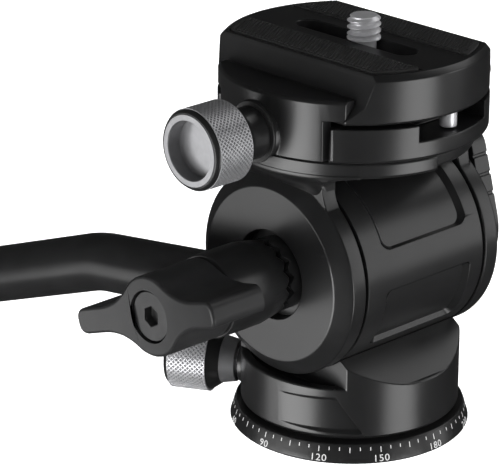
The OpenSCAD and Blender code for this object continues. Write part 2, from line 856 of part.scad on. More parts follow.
module tilt_brake_washer() {
    color(steel) at_tilt_axis() ring_x(brake_x, brake_x + brake_washer_h, brake_washer_r, boss_r + fit);
}

module tilt_lock_knob() {
    side_lean = 15;
    corner = 4.5;
    corner_z = tilt_knob_reach - corner;
    corner_y = (tilt_knob_r - corner - corner_z * sin(side_lean)) / cos(side_lean);
    groove_w = 0.6;
    groove_h = 0.3;
    groove_step = 3.9;
    groove_start = 3.9;
    color(satin) at_tilt_axis() difference() {
        translate([tilt_knob_x, 0, 0]) rotate([90, 0, 90]) linear_extrude(tilt_knob_w) polygon(concat(
            arc([corner_y, corner_z], corner, side_lean, 90, 8),
            arc([-corner_y, corner_z], corner, 90, 180 - side_lean, 8),
            arc([0, 0], tilt_knob_r, 180 - side_lean, 360 + side_lean, 42)
        ));
        bar_x(tilt_knob_x - cut, tilt_knob_end + cut, boss_r + fit);
        bar_x(tilt_knob_x - cut, brake_x + brake_washer_h, brake_washer_r + air);
        bar_x(boss_end - retainer_room, tilt_knob_end + cut, retainer_r + air);
        for (side = [0, 1], i = [0 : tilt_knob_grooves - 1]) mirror([0, side, 0]) rotate([side_lean, 0, 0])
            translate([tilt_knob_x - cut, tilt_knob_r - groove_h, groove_start + i * groove_step])
                cube([tilt_knob_w + 2 * cut, groove_h + cut, groove_w]);
    }
}

// Cradle: tilts on the axle

module tilt_cradle() {
    color(black) difference() {
        union() {
            cheek(right_arm_r);
            mirror([1, 0, 0]) cheek(left_arm_r);
            platform(platform_r - platform_step);
            intersection() {
                platform(platform_r);
                translate([-2 * platform_r - platform_split, -2 * platform_r, 0])
                    cube([2 * platform_r, 4 * platform_r, 2 * clamp_z]);
            }
        }
        at_tilt_axis() {
            bar_x(-cheek_face - cut, -recess_floor, recess_r);
            bar_x(-recess_floor - cut, 0, axle_r + seat);
            bar_x(0, cheek_face + cut, boss_r + fit);
        }
        bolt_at_each() translate([0, 0, clamp_z - bolt_deep])
            cylinder(h = bolt_deep + cut, r = bolt_r + seat);
    }
}

module platform(r) {
    rotate_extrude() polygon([
        [0, platform_z], [r - edge, platform_z], [r, platform_z + edge],
        [r, clamp_z - edge], [r - edge, clamp_z], [0, clamp_z]
    ]);
}

// A right cheek with the arm that carries the platform
module cheek(arm_r) {
    at_tilt_axis() {
        bar_x(cheek_inner, cheek_rim, cheek_r);
        cone_x(cheek_rim, cheek_r, cheek_face, cheek_face_r);
    }
    intersection() {
        translate([0, 0, axis_z]) cylinder(h = platform_under + edge, r = arm_r);
        along_y(platform_r) arm_outline(arm_r);
        rotate([90, 0, 90]) linear_extrude(platform_r) arm_front_outline(arm_r);
    }
}

// Points of a hollow flare up to the platform's underside
function flare(from, to) = [
    for (i = [0 : flare_steps]) let (a = 90 * i / flare_steps)
        [from + (to - from) * (1 - cos(a)), flare_z + flare_h * sin(a)]
];

// The outline of an arm, seen along Y: upright on the cheek, then flaring to the platform's edge
module arm_outline(arm_r) {
    polygon(concat(
        [[cheek_inner, axis_z], [cheek_rim, axis_z]],
        flare(cheek_rim, arm_r + edge),
        [[arm_r + edge, clamp_z], [cheek_inner, clamp_z]]
    ));
}

// The outline of an arm, seen along X: off the cheek's rim to a waist, then flaring to the platform's edge
module arm_front_outline(arm_r) {
    centre = [arm_waist_half + arm_hollow_r, flare_z];
    foot_turn = atan2(arm_rise, centre[0]);
    end_y = sqrt(pow(arm_r, 2) - pow(cheek_inner, 2)) + edge;
    front = concat(
        arc(centre, arm_hollow_r, 180 + foot_turn, 180 + foot_turn / flare_steps, flare_steps - 1),
        flare(arm_waist_half, end_y),
        [[end_y, clamp_z]]
    );
    last = len(front) - 1;
    polygon(concat([[0, axis_z]], front, [for (i = [last : -1 : 0]) [-front[i][0], front[i][1]]]));
}

module tilt_axle() {
    color(steel) at_tilt_axis() difference() {
        bar_x(-recess_floor + end_gap, axle_end, axle_r);
        bar_x(-recess_floor, wing_bolt_end + wing_bolt_room, wing_bolt_r + fit);
    }
}

module damper_rotor() {
    color(gunmetal) at_tilt_axis() difference() {
        union() {
            bar_x(damper_left, damper_right, rotor_hub_r);
            for (i = [1, 3]) translate([damper_left + i * damper_step, 0, 0])
                bar_x(-rotor_disc_h / 2, rotor_disc_h / 2, chamber_r - rotor_clear);
        }
        bar_x(damper_left - cut, damper_right + cut, axle_r + seat);
    }
}

// V grooves that make the teeth of a rosette, cut downwards from z = 0
module tooth_grooves(turn) {
    half = tooth_w / 2 + tooth_over;
    for (i = [0 : tooth_count - 1]) rotate([0, 0, turn + 360 * i / tooth_count])
        translate([rosette_in_r - cut, 0, 0]) rotate([90, 0, 90]) linear_extrude(rosette_r)
            polygon([[-half, tooth_over], [half, tooth_over], [0, -tooth_h]]);
}

module cheek_rosette() {
    color(steel) at_tilt_axis() rotate([0, -90, 0]) translate([0, 0, recess_floor]) difference() {
        union() {
            cylinder(h = rosette_plate, r = rosette_r);
            ring_z(rosette_plate, rosette_plate + tooth_h, rosette_r, rosette_in_r);
        }
        translate([0, 0, -cut]) cylinder(h = 2 * cut + rosette_plate, r = bolt_way_r);
        translate([0, 0, rosette_plate + tooth_h]) tooth_grooves(0);
    }
}

module bolt_at_each() {
    for (turn = bolt_turns) rotate([0, 0, turn]) translate([bolt_ring, 0, 0]) children();
}

// The outline of a jaw lip, seen along Y, on the +X side
module lip_outline(foot) {
    inner = dovetail_half + jaw_clear;
    top_inner = waist_half + jaw_clear;
    slope_z = plate_z + dovetail_foot_h;
    polygon([
        [inner, foot], [inner, slope_z], [top_inner, slope_z + dovetail_slope_h], [top_inner, lip_top],
        [clamp_r + cut, lip_top], [clamp_r + cut, foot]
    ]);
}

module clamp_base() {
    color(black) difference() {
        union() {
            rotate_extrude() polygon([
                [0, clamp_z], [clamp_r - edge, clamp_z], [clamp_r, clamp_z + edge], [clamp_r, floor_z],
                [0, floor_z]
            ]);
            intersection() {
                rotate_extrude() polygon([
                    [0, clamp_z + edge], [clamp_r, clamp_z + edge], [clamp_r, lip_top - edge],
                    [clamp_r - edge, lip_top], [0, lip_top]
                ]);
                along_y(clamp_r) lip_outline(clamp_z + cut);
            }
        }
        translate([-clamp_r - cut, -jaw_half - jaw_slit, clamp_z - cut])
            cube([clamp_r + cut - notch_x, 2 * (jaw_half + jaw_slit), clamp_floor_h + 2 * cut]);
        stop_window();
        mirror([0, 1, 0]) stop_window();
        at_clamp_axis() bar_x(-notch_x - cut, clamp_screw_room - clamp_screw_in, clamp_screw_r + fit);
        at_clamp_axis() guide_places() {
            bar_x(-notch_x - cut, -guide_pin_in, guide_pin_r + seat);
            bar_x(-notch_x - cut, -spring_room_in, spring_room_r);
        }
        bolt_at_each() translate([0, 0, clamp_z - cut]) {
            cylinder(h = clamp_floor_h + 2 * cut, r = bolt_r + fit);
            translate([0, 0, cut + clamp_floor_h - bolt_head_h - air])
                cylinder(h = bolt_head_h + cut, r = bolt_head_r + fit);
        }
    }
}

// The window that the plate's stop pin moves in
module stop_window() {
    translate([window_x - window_half, -clamp_r - cut, window_floor])
        cube([2 * window_half, clamp_r + cut - window_y, clamp_floor_h]);
}

module guide_places() {
    for (sy = [-1, 1]) translate([0, sy * guide_pin_y, 0]) children();
}

module clamp_bolts() {
    length = clamp_floor_h - air - bolt_head_h + bolt_deep - screw_rest;
    color(steel) bolt_at_each() translate([0, 0, floor_z - air]) rotate([180, 0, 0]) difference() {
        cap_screw(bolt_head_r, bolt_head_h, bolt_r, length);
        translate([0, 0, -cut]) cylinder(h = cut + bolt_hex_h, r = bolt_hex_r, $fn = 6);
    }
}

module jaw_guide_pins() {
    color(steel) at_clamp_axis() guide_places() bar_x(-guide_pin_out, -guide_pin_in, guide_pin_r);
}

module jaw_springs() {
    color(steel) at_clamp_axis() guide_places()
        ring_x(-jaw_inner + air, -spring_room_in, spring_room_r - air, guide_pin_r + air);
}

// Jaw: slides on its guide pins as the clamp knob is turned

module movable_jaw() {
    color(black) difference() {
        mirror([1, 0, 0]) {
            intersection() {
                rotate_extrude() polygon([
                    [0, jaw_bottom], [jaw_outer_r, jaw_bottom], [jaw_outer_r, lip_top - edge],
                    [jaw_outer_r - edge, lip_top], [0, lip_top]
                ]);
                union() {
                    along_y(jaw_lip_half) lip_outline(plate_z + dovetail_foot_h - jaw_lip_lap);
                    along_y(jaw_half) jaw_foot_outline();
                }
            }
            intersection() {
                at_clamp_axis() bar_x(dovetail_half + jaw_clear + cut, jaw_boss_x, jaw_boss_r);
                translate([0, -jaw_half, jaw_bottom]) cube([jaw_boss_x + cut, 2 * jaw_half, lip_top]);
            }
        }
        at_clamp_axis() {
            bar_x(-jaw_boss_x - cut, 0, clamp_screw_r + fit);
            guide_places() bar_x(-guide_pin_out - air, 0, guide_pin_r + fit);
        }
    }
}

// The outline of the jaw's foot, seen along Y, on the +X side: a low shelf under the plate, and the
// stem of the lip
module jaw_foot_outline() {
    inner = dovetail_half + jaw_clear;
    shelf = plate_z - jaw_shelf_drop;
    stem_top = plate_z + dovetail_foot_h;
    polygon([
        [jaw_inner, jaw_bottom], [clamp_r + cut, jaw_bottom], [clamp_r + cut, stem_top],
        [inner, stem_top], [inner, shelf], [jaw_inner, shelf]
    ]);
}

module jaw_washer() {
    color(nylon) at_clamp_axis() ring_x(-jaw_washer_x, -jaw_boss_x, jaw_boss_r, clamp_screw_r + fit);
}

// Clamp knob

module clamp_screw() {
    outer = jaw_washer_x + clamp_neck_w + clamp_screw_hold;
    color(steel) at_clamp_axis() bar_x(-outer, -clamp_screw_in, clamp_screw_r);
}

module clamp_knob() {
    bevel = 0.9;
    knurl = -jaw_washer_x - clamp_neck_w;
    end = knurl - clamp_knob_w;
    dish_rim = 2.15;
    dish_floor = 0.8;
    dish_h = clamp_knob_w - clamp_screw_hold - dish_floor;
    color(gunmetal) at_clamp_axis() difference() {
        union() {
            bar_x(knurl, -jaw_washer_x, clamp_neck_r);
            bar_x(end + bevel, knurl, clamp_knob_r);
            cone_x(end, clamp_knob_r - bevel, end + bevel, clamp_knob_r);
        }
        bar_x(knurl - clamp_screw_hold, 0, clamp_screw_r + seat);
        bar_x(end - cut, end + dish_h, clamp_knob_r - dish_rim);
    }
}

// Quick-release plate

// The plate's cross-section, seen along Y
module plate_outline() {
    slope_z = plate_z + dovetail_foot_h;
    half = [
        [dovetail_half - edge / 2, plate_z], [dovetail_half, plate_z + edge / 2], [dovetail_half, slope_z],
        [waist_half, slope_z + dovetail_slope_h], [plate_top_half + edge / 2, plate_top - 2 * edge],
        [plate_top_half, plate_top]
    ];
    polygon(concat(half, [for (i = [len(half) - 1 : -1 : 0]) [-half[i][0], half[i][1]]]));
}

module release_plate() {
    rim = 1;
    color(black) difference() {
        intersection() {
            rotate_extrude() polygon([
                [0, plate_z], [plate_r - edge, plate_z], [plate_r, plate_z + edge],
                [plate_r, plate_top - rim], [plate_r - rim, plate_top], [0, plate_top]
            ]);
            along_y(plate_r) plate_outline();
        }
        slot(slot_w / 2, slot_front, slot_back, plate_z - cut, plate_top + cut);
        translate([-channel_half, -channel_front, plate_z - cut])
            cube([2 * channel_half, channel_front + channel_back, cut + channel_top - plate_z]);
        for (side = [0, 1]) mirror([side, 0, 0]) translate([0, 0, plate_top - pad_sink])
            linear_extrude(pad_sink + cut) pad_outline(pad_clear);
        stop_pin_places() translate([0, 0, plate_z - cut])
            cylinder(h = cut + stop_pin_deep, r = stop_pin_r + seat);
    }
}

// A slot along Y with round ends
module slot(r, front, back, z0, z1) {
    for (y = [-front + r, back - r]) translate([0, y, z0]) cylinder(h = z1 - z0, r = r);
    translate([-r, -front + r, z0]) cube([2 * r, front + back - 2 * r, z1 - z0]);
}

// A pad's outline on the +X side: a strip cut by the plate's round ends
module pad_outline(grow) {
    intersection() {
        circle(pad_r + grow);
        translate([pad_inner - grow, -plate_r]) square([pad_outer - pad_inner + 2 * grow, 2 * plate_r]);
    }
}

module grip_pad() {
    color(rubber) translate([0, 0, plate_top - pad_sink])
        linear_extrude(pad_sink + pad_proud) pad_outline(0);
}

module grip_pad_left() {
    mirror([1, 0, 0]) grip_pad();
}

module grip_pad_right() {
    grip_pad();
}

module stop_pin_places() {
    for (sy = [-1, 1]) translate([stop_pin_x, sy * stop_pin_y, 0]) children();
}

module plate_stop_pins() {
    color(steel) stop_pin_places() translate([0, 0, stop_pin_z])
        cylinder(h = plate_z + stop_pin_deep - stop_pin_z, r = stop_pin_r);
}

// Camera screw and the slider that keeps it in the slot

module screw_slider() {
    color(nylon) translate([0, -camera_screw_y, slider_z]) difference() {
        translate([-slider_half, -slider_half, 0]) cube([2 * slider_half, 2 * slider_half, slider_h]);
        translate([0, 0, -cut]) cylinder(h = slider_h + 2 * cut, r = screw_neck_r + fit);
    }
}

module camera_screw() {
    head_z = slider_z - screw_head_h;
    tip = camera_thread_z + camera_thread_h;
    color(steel) translate([0, -camera_screw_y, 0]) difference() {
        rotate_extrude() polygon([
            [0, head_z], [screw_head_r, head_z], [screw_head_r, slider_z], [screw_neck_r, slider_z],
            [screw_neck_r, camera_thread_z], [camera_thread_r, camera_thread_z],
            [camera_thread_r, tip - thread_bevel], [camera_thread_r - thread_bevel, tip], [0, tip]
        ]);
        translate([-screw_head_r - cut, -coin_slot_w / 2, head_z - cut])
            cube([2 * screw_head_r + 2 * cut, coin_slot_w, cut + coin_slot_h]);
    }
}

// Handle

// Turns the XY plane into the handle's plane: X runs back, Y runs up, from the tilt axis
module in_handle_plane() {
    translate([rod_x, 0, axis_z]) rotate([90, 0, 90]) children();
}

// Places its children at the end of the bend, with X along the tube
module after_bend() {
    turn = [rod_length_1 * cos(rod_slope_1), -rod_length_1 * sin(rod_slope_1)];
    middle = turn + rod_bend_r * [-sin(rod_slope_1), -cos(rod_slope_1)];
    in_handle_plane() translate(middle + rod_bend_r * [sin(rod_slope_2), cos(rod_slope_2)])
        rotate([0, 0, -rod_slope_2]) children();
}

// The tube's path as a solid bar
module rod_bar(r, end) {
    turn = [rod_length_1 * cos(rod_slope_1), -rod_length_1 * sin(rod_slope_1)];
    middle = turn + rod_bend_r * [-sin(rod_slope_1), -cos(rod_slope_1)];
    in_handle_plane() {
        rotate([0, 0, -rod_slope_1]) bar_x(rod_start, rod_length_1 + bend_lap, r);
        translate(middle) rotate([0, 0, 90 - rod_slope_2]) rotate_extrude(angle = rod_bend)
            translate([rod_bend_r, 0]) circle(r + bend_swell);
    }
    after_bend() bar_x(-bend_lap, end, r);
}

module handle_rod() {
    color(satin) difference() {
        rod_bar(rod_r, grip_end);
        after_bend() bar_x(rod_bore_start, rod_length_2, rod_r - rod_wall);
    }
}

module handle_hub() {
    color(satin) at_tilt_axis() difference() {
        union() {
            bar_x(hub_outer, hub_inner - hub_taper_w, hub_r);
            cone_x(hub_inner - hub_taper_w, hub_r, hub_inner, hub_r - hub_taper);
        }
        bar_x(hub_outer - cut, hub_inner + cut, bolt_way_r);
        translate([rod_x, 0, 0]) rotate([90, 0, 90]) rotate([0, 0, -rod_slope_1])
            bar_x(rod_start - end_gap, 2 * hub_r, rod_r + seat);
        translate([hub_inner, 0, 0]) rotate([0, 90, 0]) tooth_grooves(180 / tooth_count);
    }
}

module handle_grip() {
    tip_r = rod_r + grip_wall;
    neck_r = grip_r - 0.9;
    neck_start = 0.25 * grip_length;
    neck_end = 0.7 * grip_length;
    bulb = 6;
    bevel = 0.8;
    color(rubber) after_bend() translate([grip_start, 0, 0]) rotate([0, 90, 0]) difference() {
        rotate_extrude() polygon([
            [0, 0], [tip_r, 0], [tip_r + bevel, bevel], [neck_r, neck_start], [neck_r, neck_end],
            [grip_r, grip_length - bulb], [grip_r, grip_length - 2 * bevel],
            [grip_r - bevel, grip_length], [0, grip_length]
        ]);
        translate([0, 0, -cut]) cylinder(h = grip_length + 2 * cut, r = rod_r + seat);
    }
}

module handle_end_cap() {
    color(satin) after_bend() {
        bar_x(grip_end, rod_length_2, grip_r - end_cap_rim);
        bar_x(grip_end - end_cap_plug, grip_end, rod_r - rod_wall - seat);
    }
}

// Wing knob: its washer moves out as it is loosened

module wing_washer() {
    color(steel) at_tilt_axis() ring_x(washer_x, washer_x + washer_h, hub_r - 1, wing_bolt_r + fit);
}

// Points along an arc about c, from one angle to another
function arc(c, r, from, to, steps) =
    [for (i = [0 : steps]) let (a = from + (to - from) * i / steps) c + r * [cos(a), sin(a)]];

// The wing knob's outline: a round hub, two wings and the concave blends between them
module wing_outline() {
    tip = 1.8;
    blend_v = wing_half + wing_blend_r;
    blend_u = sqrt(pow(wing_hub_r + wing_blend_r, 2) - pow(blend_v, 2));
    lean = atan2(blend_v, blend_u);
    quarter = concat(
        arc([wing_reach - tip, wing_half - tip], tip, 0, 90, 4),
        arc([blend_u, blend_v], wing_blend_r, -90, lean - 180, 8),
        arc([0, 0], wing_hub_r, lean + 4, 86, 8)
    );
    last = len(quarter) - 1;
    half = concat(quarter, [for (i = [last : -1 : 0]) [-quarter[i][0], quarter[i][1]]]);
    polygon(concat(half, [for (p = half) -p]));
}

module wing_knob() {
    face_r = (pow(wing_reach, 2) + pow(wing_lean, 2)) / (2 * wing_lean);
    boss_r = wing_hub_r + 0.4;
    blade_slope = 0.22;
    turned_r = wing_reach + 1;
    front = wing_lean - wing_face + cut;
    color(satin) at_tilt_axis() difference() {
        intersection() {
            rotate([-wing_turn, 0, 0]) difference() {
                translate([wing_face - wing_lean, 0, 0]) rotate([90, 0, 90])
                    linear_extrude(wing_depth + wing_lean) wing_outline();
                translate([wing_face - face_r, 0, -wing_hub_r - cut])
                    cylinder(h = 2 * wing_hub_r + 2 * cut, r = face_r);
            }
            rotate([0, -90, 0]) rotate_extrude() polygon([
                [0, -wing_back - cut], [boss_r - cut * blade_slope, -wing_back - cut],
                [turned_r, (turned_r - boss_r) * blade_slope - wing_back], [turned_r, front], [0, front]
            ]);
        }
        bar_x(wing_face - cut, wing_back + cut, wing_bolt_r + seat);
        bar_x(wing_face - wing_lean - cut, wing_face + wing_well_h, wing_well_r);
    }
}

module wing_bolt() {
    head = wing_face + wing_well_h - bolt_cap_h;
    color(steel) at_tilt_axis() difference() {
        union() {
            bar_x(head, head + bolt_cap_h, bolt_cap_r);
            bar_x(head, wing_bolt_end, wing_bolt_r);
        }
        translate([head - cut, 0, 0]) rotate([0, 90, 0])
            cylinder(h = cut + socket_h, r = socket_r, $fn = 6);
    }
}

dial_base();
tripod_insert();
pan_spindle();
base_screws();
pan_glide_ring();
pan_thrust_washer();
spindle_cap();
spindle_cap_screws();
pan_housing();
drum_screws();
pan_lock_insert();
tilt_drum();
drum_cover();
drum_cover_screws();
axle_bush_left();
axle_bush_right();
axle_seals();
damper_stator_rings();
tilt_washer_left();
tilt_washer_right();
tilt_knob_retainer();
pan_brake_shoe();
pan_lock_screw();
pan_lock_knob();
tilt_brake_washer();
tilt_lock_knob();
tilt_cradle();
tilt_axle();
damper_rotor();
cheek_rosette();
clamp_base();
clamp_bolts();
jaw_guide_pins();
jaw_springs();
movable_jaw();
jaw_washer();
clamp_screw();
clamp_knob();
release_plate();
grip_pad_left();
grip_pad_right();
plate_stop_pins();
screw_slider();
camera_screw();
handle_hub();
handle_rod();
handle_grip();
handle_end_cap();
wing_washer();
wing_knob();
wing_bolt();
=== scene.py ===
# %% [markdown]
# # A fluid video head in black anodised aluminium
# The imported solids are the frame: every piece below sits where its solid sits, in metres, with the
# tripod face at z = 0 and the front of the head facing -Y. Sizes are written in millimetres and
# multiplied by MM, because that is how a maker reads a drawing of a part this small.

# %% Load the frame
import bmesh
import bpy
import json
from math import cos, pi, radians, sin, sqrt
from mathutils import Matrix, Vector

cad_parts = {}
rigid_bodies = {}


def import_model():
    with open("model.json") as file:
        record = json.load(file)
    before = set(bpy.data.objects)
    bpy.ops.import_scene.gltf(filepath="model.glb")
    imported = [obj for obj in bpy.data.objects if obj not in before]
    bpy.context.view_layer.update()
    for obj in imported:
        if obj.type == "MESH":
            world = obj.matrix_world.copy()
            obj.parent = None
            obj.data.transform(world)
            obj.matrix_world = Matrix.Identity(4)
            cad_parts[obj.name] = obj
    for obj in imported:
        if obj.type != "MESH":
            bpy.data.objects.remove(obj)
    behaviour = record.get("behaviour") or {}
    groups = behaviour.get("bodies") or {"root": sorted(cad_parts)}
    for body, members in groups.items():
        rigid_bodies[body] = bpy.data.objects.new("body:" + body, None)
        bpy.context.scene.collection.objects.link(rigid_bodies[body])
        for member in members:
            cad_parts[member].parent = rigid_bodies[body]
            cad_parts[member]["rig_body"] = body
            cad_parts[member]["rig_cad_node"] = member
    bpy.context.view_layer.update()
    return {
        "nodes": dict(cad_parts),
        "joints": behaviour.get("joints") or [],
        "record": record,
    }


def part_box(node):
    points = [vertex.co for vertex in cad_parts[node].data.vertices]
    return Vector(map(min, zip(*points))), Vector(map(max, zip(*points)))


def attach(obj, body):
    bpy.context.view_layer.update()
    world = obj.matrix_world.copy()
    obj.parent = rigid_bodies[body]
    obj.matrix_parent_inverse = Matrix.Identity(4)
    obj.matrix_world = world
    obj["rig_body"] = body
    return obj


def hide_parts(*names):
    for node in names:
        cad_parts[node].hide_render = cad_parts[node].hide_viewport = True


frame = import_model()
solids = frame["nodes"]
body_of = {n: b for b, ns in frame["record"]["behaviour"]["bodies"].items() for n in ns}
slot_of = {s["node"]: s["material_slot"] for s in frame["record"]["subparts"]}
MM = 0.001

# %% [markdown]
# ## The camera
# The picture was taken from the front left, a little above. The camera's place was found by fitting
# the known circles of the head to the photograph. A long lens, far away, gives the same perspective.

# %% Camera
lens_data = bpy.data.cameras.new("portrait_lens")
lens_data.sensor_width = 36
lens_data.lens = 193.34
camera = bpy.data.objects.new("portrait_camera", lens_data)
camera.location = (-0.34594, -0.33667, 0.22260)
camera.rotation_euler = (radians(69.074), 0, radians(-43.478))
bpy.context.scene.collection.objects.link(camera)
bpy.context.scene.camera = camera
print("camera with a lens of", lens_data.lens, "mm")

# %% [markdown]
# ## Picking up a piece
# Operators act on whatever is selected, so each step starts from an empty selection. These small
# helpers do what the hand does: put everything down, take one piece, open it, pick faces or edges
# by where they are, and close it again.

# %% Selection helpers
def put_down():
    if bpy.context.object and bpy.context.object.mode != "OBJECT":
        bpy.ops.object.mode_set(mode="OBJECT")
    bpy.ops.object.select_all(action="DESELECT")


def take(piece):
    put_down()
    piece.select_set(True)
    bpy.context.view_layer.objects.active = piece


def open_mesh(piece, all_of_it=True):
    take(piece)
    bpy.ops.object.mode_set(mode="EDIT")
    bpy.ops.mesh.select_mode(type="VERT")
    bpy.ops.mesh.select_all(action="SELECT" if all_of_it else "DESELECT")


def close_mesh():
    bpy.ops.object.mode_set(mode="OBJECT")


def close_outward():
    """Turns all faces of the open mesh outwards and closes it."""
    bpy.ops.mesh.select_all(action="SELECT")
    bpy.ops.mesh.normals_make_consistent(inside=False)
    close_mesh()


def pick(piece, kind, wanted):
    """Selects, in the open mesh, the verts, edges or faces that wanted() says yes to."""
    bpy.ops.mesh.select_mode(type={"verts": "VERT", "edges": "EDGE", "faces": "FACE"}[kind])
    bpy.ops.mesh.select_all(action="DESELECT")
    mesh = bmesh.from_edit_mesh(piece.data)
    mesh.verts.index_update()
    found = [item for item in getattr(mesh, kind) if wanted(item)]
    for item in found:
        item.select_set(True)
    bmesh.update_edit_mesh(piece.data)
    return len(found)


print("helpers ready")

# %% [markdown]
# ## Edges that catch the light
# A turned or milled edge is never perfectly sharp: the tool breaks it, and anodising leaves a thin
# bright line there. Edges over an angle are picked and bevelled, apart from those that are spared.
# Weighted normals then let the large faces decide, so that flat faces stay flat up to the bevel.

# %% Edge helpers
WELD = 1e-6


def use_modifier(piece, kind, **settings):
    take(piece)
    modifier = piece.modifiers.new(kind.title(), kind)
    for key, value in settings.items():
        setattr(modifier, key, value)
    bpy.ops.object.modifier_apply(modifier=modifier.name)


def shade(piece, angle=32):
    take(piece)
    bpy.ops.object.shade_smooth_by_angle(angle=radians(angle))


def even_shading(piece, angle=50):
    shade(piece, angle)
    use_modifier(piece, "WEIGHTED_NORMAL", keep_sharp=True)


def bevel_where(piece, width, segments, wanted):
    """Bevels the edges whose middle, in mm, wanted() says yes to."""
    open_mesh(piece)
    pick(piece, "edges", lambda e: len(e.link_faces) == 2
         and wanted(e, (e.verts[0].co + e.verts[1].co) / 2 / MM))
    bpy.ops.mesh.bevel(offset=width * MM, segments=segments, affect="EDGES", clamp_overlap=False)
    close_mesh()


def break_edges(piece, width, angle=30, segments=2, spare=None):
    bevel_where(piece, width, segments, lambda e, middle: e.calc_face_angle() > radians(angle)
                and not (spare and spare(middle)))
    even_shading(piece)


def copy_of_solid(node, width=0, angle=30, segments=2, spare=None):
    """A copy of a CAD solid with broken edges, ready to stand for it."""
    piece = solids[node].copy()
    piece.data = solids[node].data.copy()
    piece.name = node + "_finished"
    piece.parent = None
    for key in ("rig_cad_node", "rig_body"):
        del piece[key]
    bpy.context.scene.collection.objects.link(piece)
    open_mesh(piece)
    bpy.ops.mesh.customdata_custom_splitnormals_clear()
    bpy.ops.mesh.remove_doubles(threshold=WELD)
    bpy.ops.mesh.dissolve_limited(angle_limit=radians(0.5))
    close_mesh()
    if width:
        break_edges(piece, width, angle, segments, spare)
    return piece


print("edge helpers ready")

# %% [markdown]
# ## A lathe
# Most of the head is turned, so most new pieces are too: one vertex is extruded along the profile,
# and Spin turns the profile about its axis. Doubles are merged before the normals are recalculated,
# so that the seam and the poles are closed.

# %% Lathe helper
def one_vertex(name, spot):
    """Starts a piece as a single vertex in an open mesh, ready to be extruded."""
    put_down()
    bpy.ops.mesh.primitive_plane_add(size=0.1 * MM, location=spot)
    piece = bpy.context.object
    piece.name = name
    bpy.ops.object.transform_apply(location=True, rotation=True, scale=True)
    open_mesh(piece)
    bpy.ops.mesh.merge(type="CENTER")
    return piece


def lathe(name, centre, along, profile, steps=96):
    """profile: (distance along the axis, radius) in mm, from the axis back to the axis."""
    centre = Vector(centre)
    along = Vector(along).normalized()
    upright = abs(along.z) > 0.9
    across = Vector((1, 0, 0)) if upright else along.cross(Vector((0, 0, 1))).normalized()
    spots = [(centre + along * h + across * r) * MM for h, r in profile]
    piece = one_vertex(name, spots[0])
    for here, there in zip(spots, spots[1:]):
        bpy.ops.mesh.extrude_region_move(TRANSFORM_OT_translate={"value": there - here})
    bpy.ops.mesh.select_all(action="SELECT")
    bpy.ops.mesh.spin(steps=steps, angle=2 * pi, center=centre * MM, axis=along)
    bpy.ops.mesh.select_all(action="SELECT")
    bpy.ops.mesh.remove_doubles(threshold=WELD)
    close_outward()
    return piece


print("lathe ready")

# %% [markdown]
# ## The finishes
# Nearly everything is aluminium, bead blasted and anodised black: a dark, slightly rough metal whose
# fine grain breaks up the reflections. One helper builds such a finish from a noise for the colour,
# a finer noise for the roughness and a bump for the grain, all on Object coordinates so that the
# pattern stays on the piece.

# %% Finish helper
def finish(name, dark, light, rough, metal, grain, bump, blotch=6.0):
    """dark and light colours, roughness range, metal share, grain size, bump strength, blotch size."""
    material = bpy.data.materials.new(name)
    material.use_nodes = True
    tree = material.node_tree
    shader = tree.nodes["Principled BSDF"]
    shader.inputs["Metallic"].default_value = metal
    place = tree.nodes.new("ShaderNodeTexCoord")

    def noise(size, detail):
        node = tree.nodes.new("ShaderNodeTexNoise")
        node.inputs["Scale"].default_value = 1 / (size * MM)
        node.inputs["Detail"].default_value = detail
        tree.links.new(place.outputs["Object"], node.inputs["Vector"])
        return node

    tint = tree.nodes.new("ShaderNodeValToRGB")
    tint.color_ramp.elements[0].position = 0.3
    tint.color_ramp.elements[1].position = 0.7
    tint.color_ramp.elements[0].color = (*dark, 1)
    tint.color_ramp.elements[1].color = (*light, 1)
    tree.links.new(noise(blotch, 3).outputs["Fac"], tint.inputs["Fac"])
    tree.links.new(tint.outputs["Color"], shader.inputs["Base Color"])
    fine = noise(grain, 2)
    spread = tree.nodes.new("ShaderNodeMapRange")
    spread.inputs["To Min"].default_value = rough[0]
    spread.inputs["To Max"].default_value = rough[1]
    tree.links.new(fine.outputs["Fac"], spread.inputs["Value"])
    tree.links.new(spread.outputs["Result"], shader.inputs["Roughness"])
    relief = tree.nodes.new("ShaderNodeBump")
    relief.inputs["Strength"].default_value = bump
    relief.inputs["Distance"].default_value = 0.01 * MM
    tree.links.new(fine.outputs["Fac"], relief.inputs["Height"])
    tree.links.new(relief.outputs["Normal"], shader.inputs["Normal"])
    return material


def grey(value, blue=1.03):
    return (value, value, value * blue)


print("finish helper ready")

# %% Finishes of the head
blasted_black = finish("blasted_black_anodised", grey(0.006), grey(0.008), (0.27, 0.33),
                       0.0, 0.12, 0.25)
satin_black = finish("satin_black_anodised", grey(0.006), grey(0.009), (0.26, 0.32), 0.0, 0.16, 0.15)
cast_black = finish("cast_black_anodised", grey(0.012), grey(0.015), (0.32, 0.38), 0.0, 0.16, 0.15)
cast_black.node_tree.nodes["Principled BSDF"].inputs["Specular IOR Level"].default_value = 0.26
black_oxide = finish("black_oxide_steel", grey(0.012), grey(0.02), (0.28, 0.4), 0.3, 0.2, 0.15, 2.0)
knurl_metal = finish("bright_knurl_metal", grey(0.34), grey(0.4), (0.36, 0.46), 0.8, 0.2, 0.1, 2.0)
satin_silver = finish("satin_silver_metal", grey(0.44), grey(0.5), (0.34, 0.42),
                      0.75, 0.15, 0.1, 2.0)
ring_metal = finish("turned_ring_metal", grey(0.24), grey(0.28), (0.3, 0.36), 0.85, 0.15, 0.1, 2.0)
turned_steel = finish("turned_steel", grey(0.48), grey(0.56), (0.32, 0.4), 0.65, 0.1, 0.1, 1.5)
inner_aluminium = finish("machined_aluminium", grey(0.5), grey(0.58), (0.3, 0.4),
                         1.0, 0.2, 0.15, 4.0)
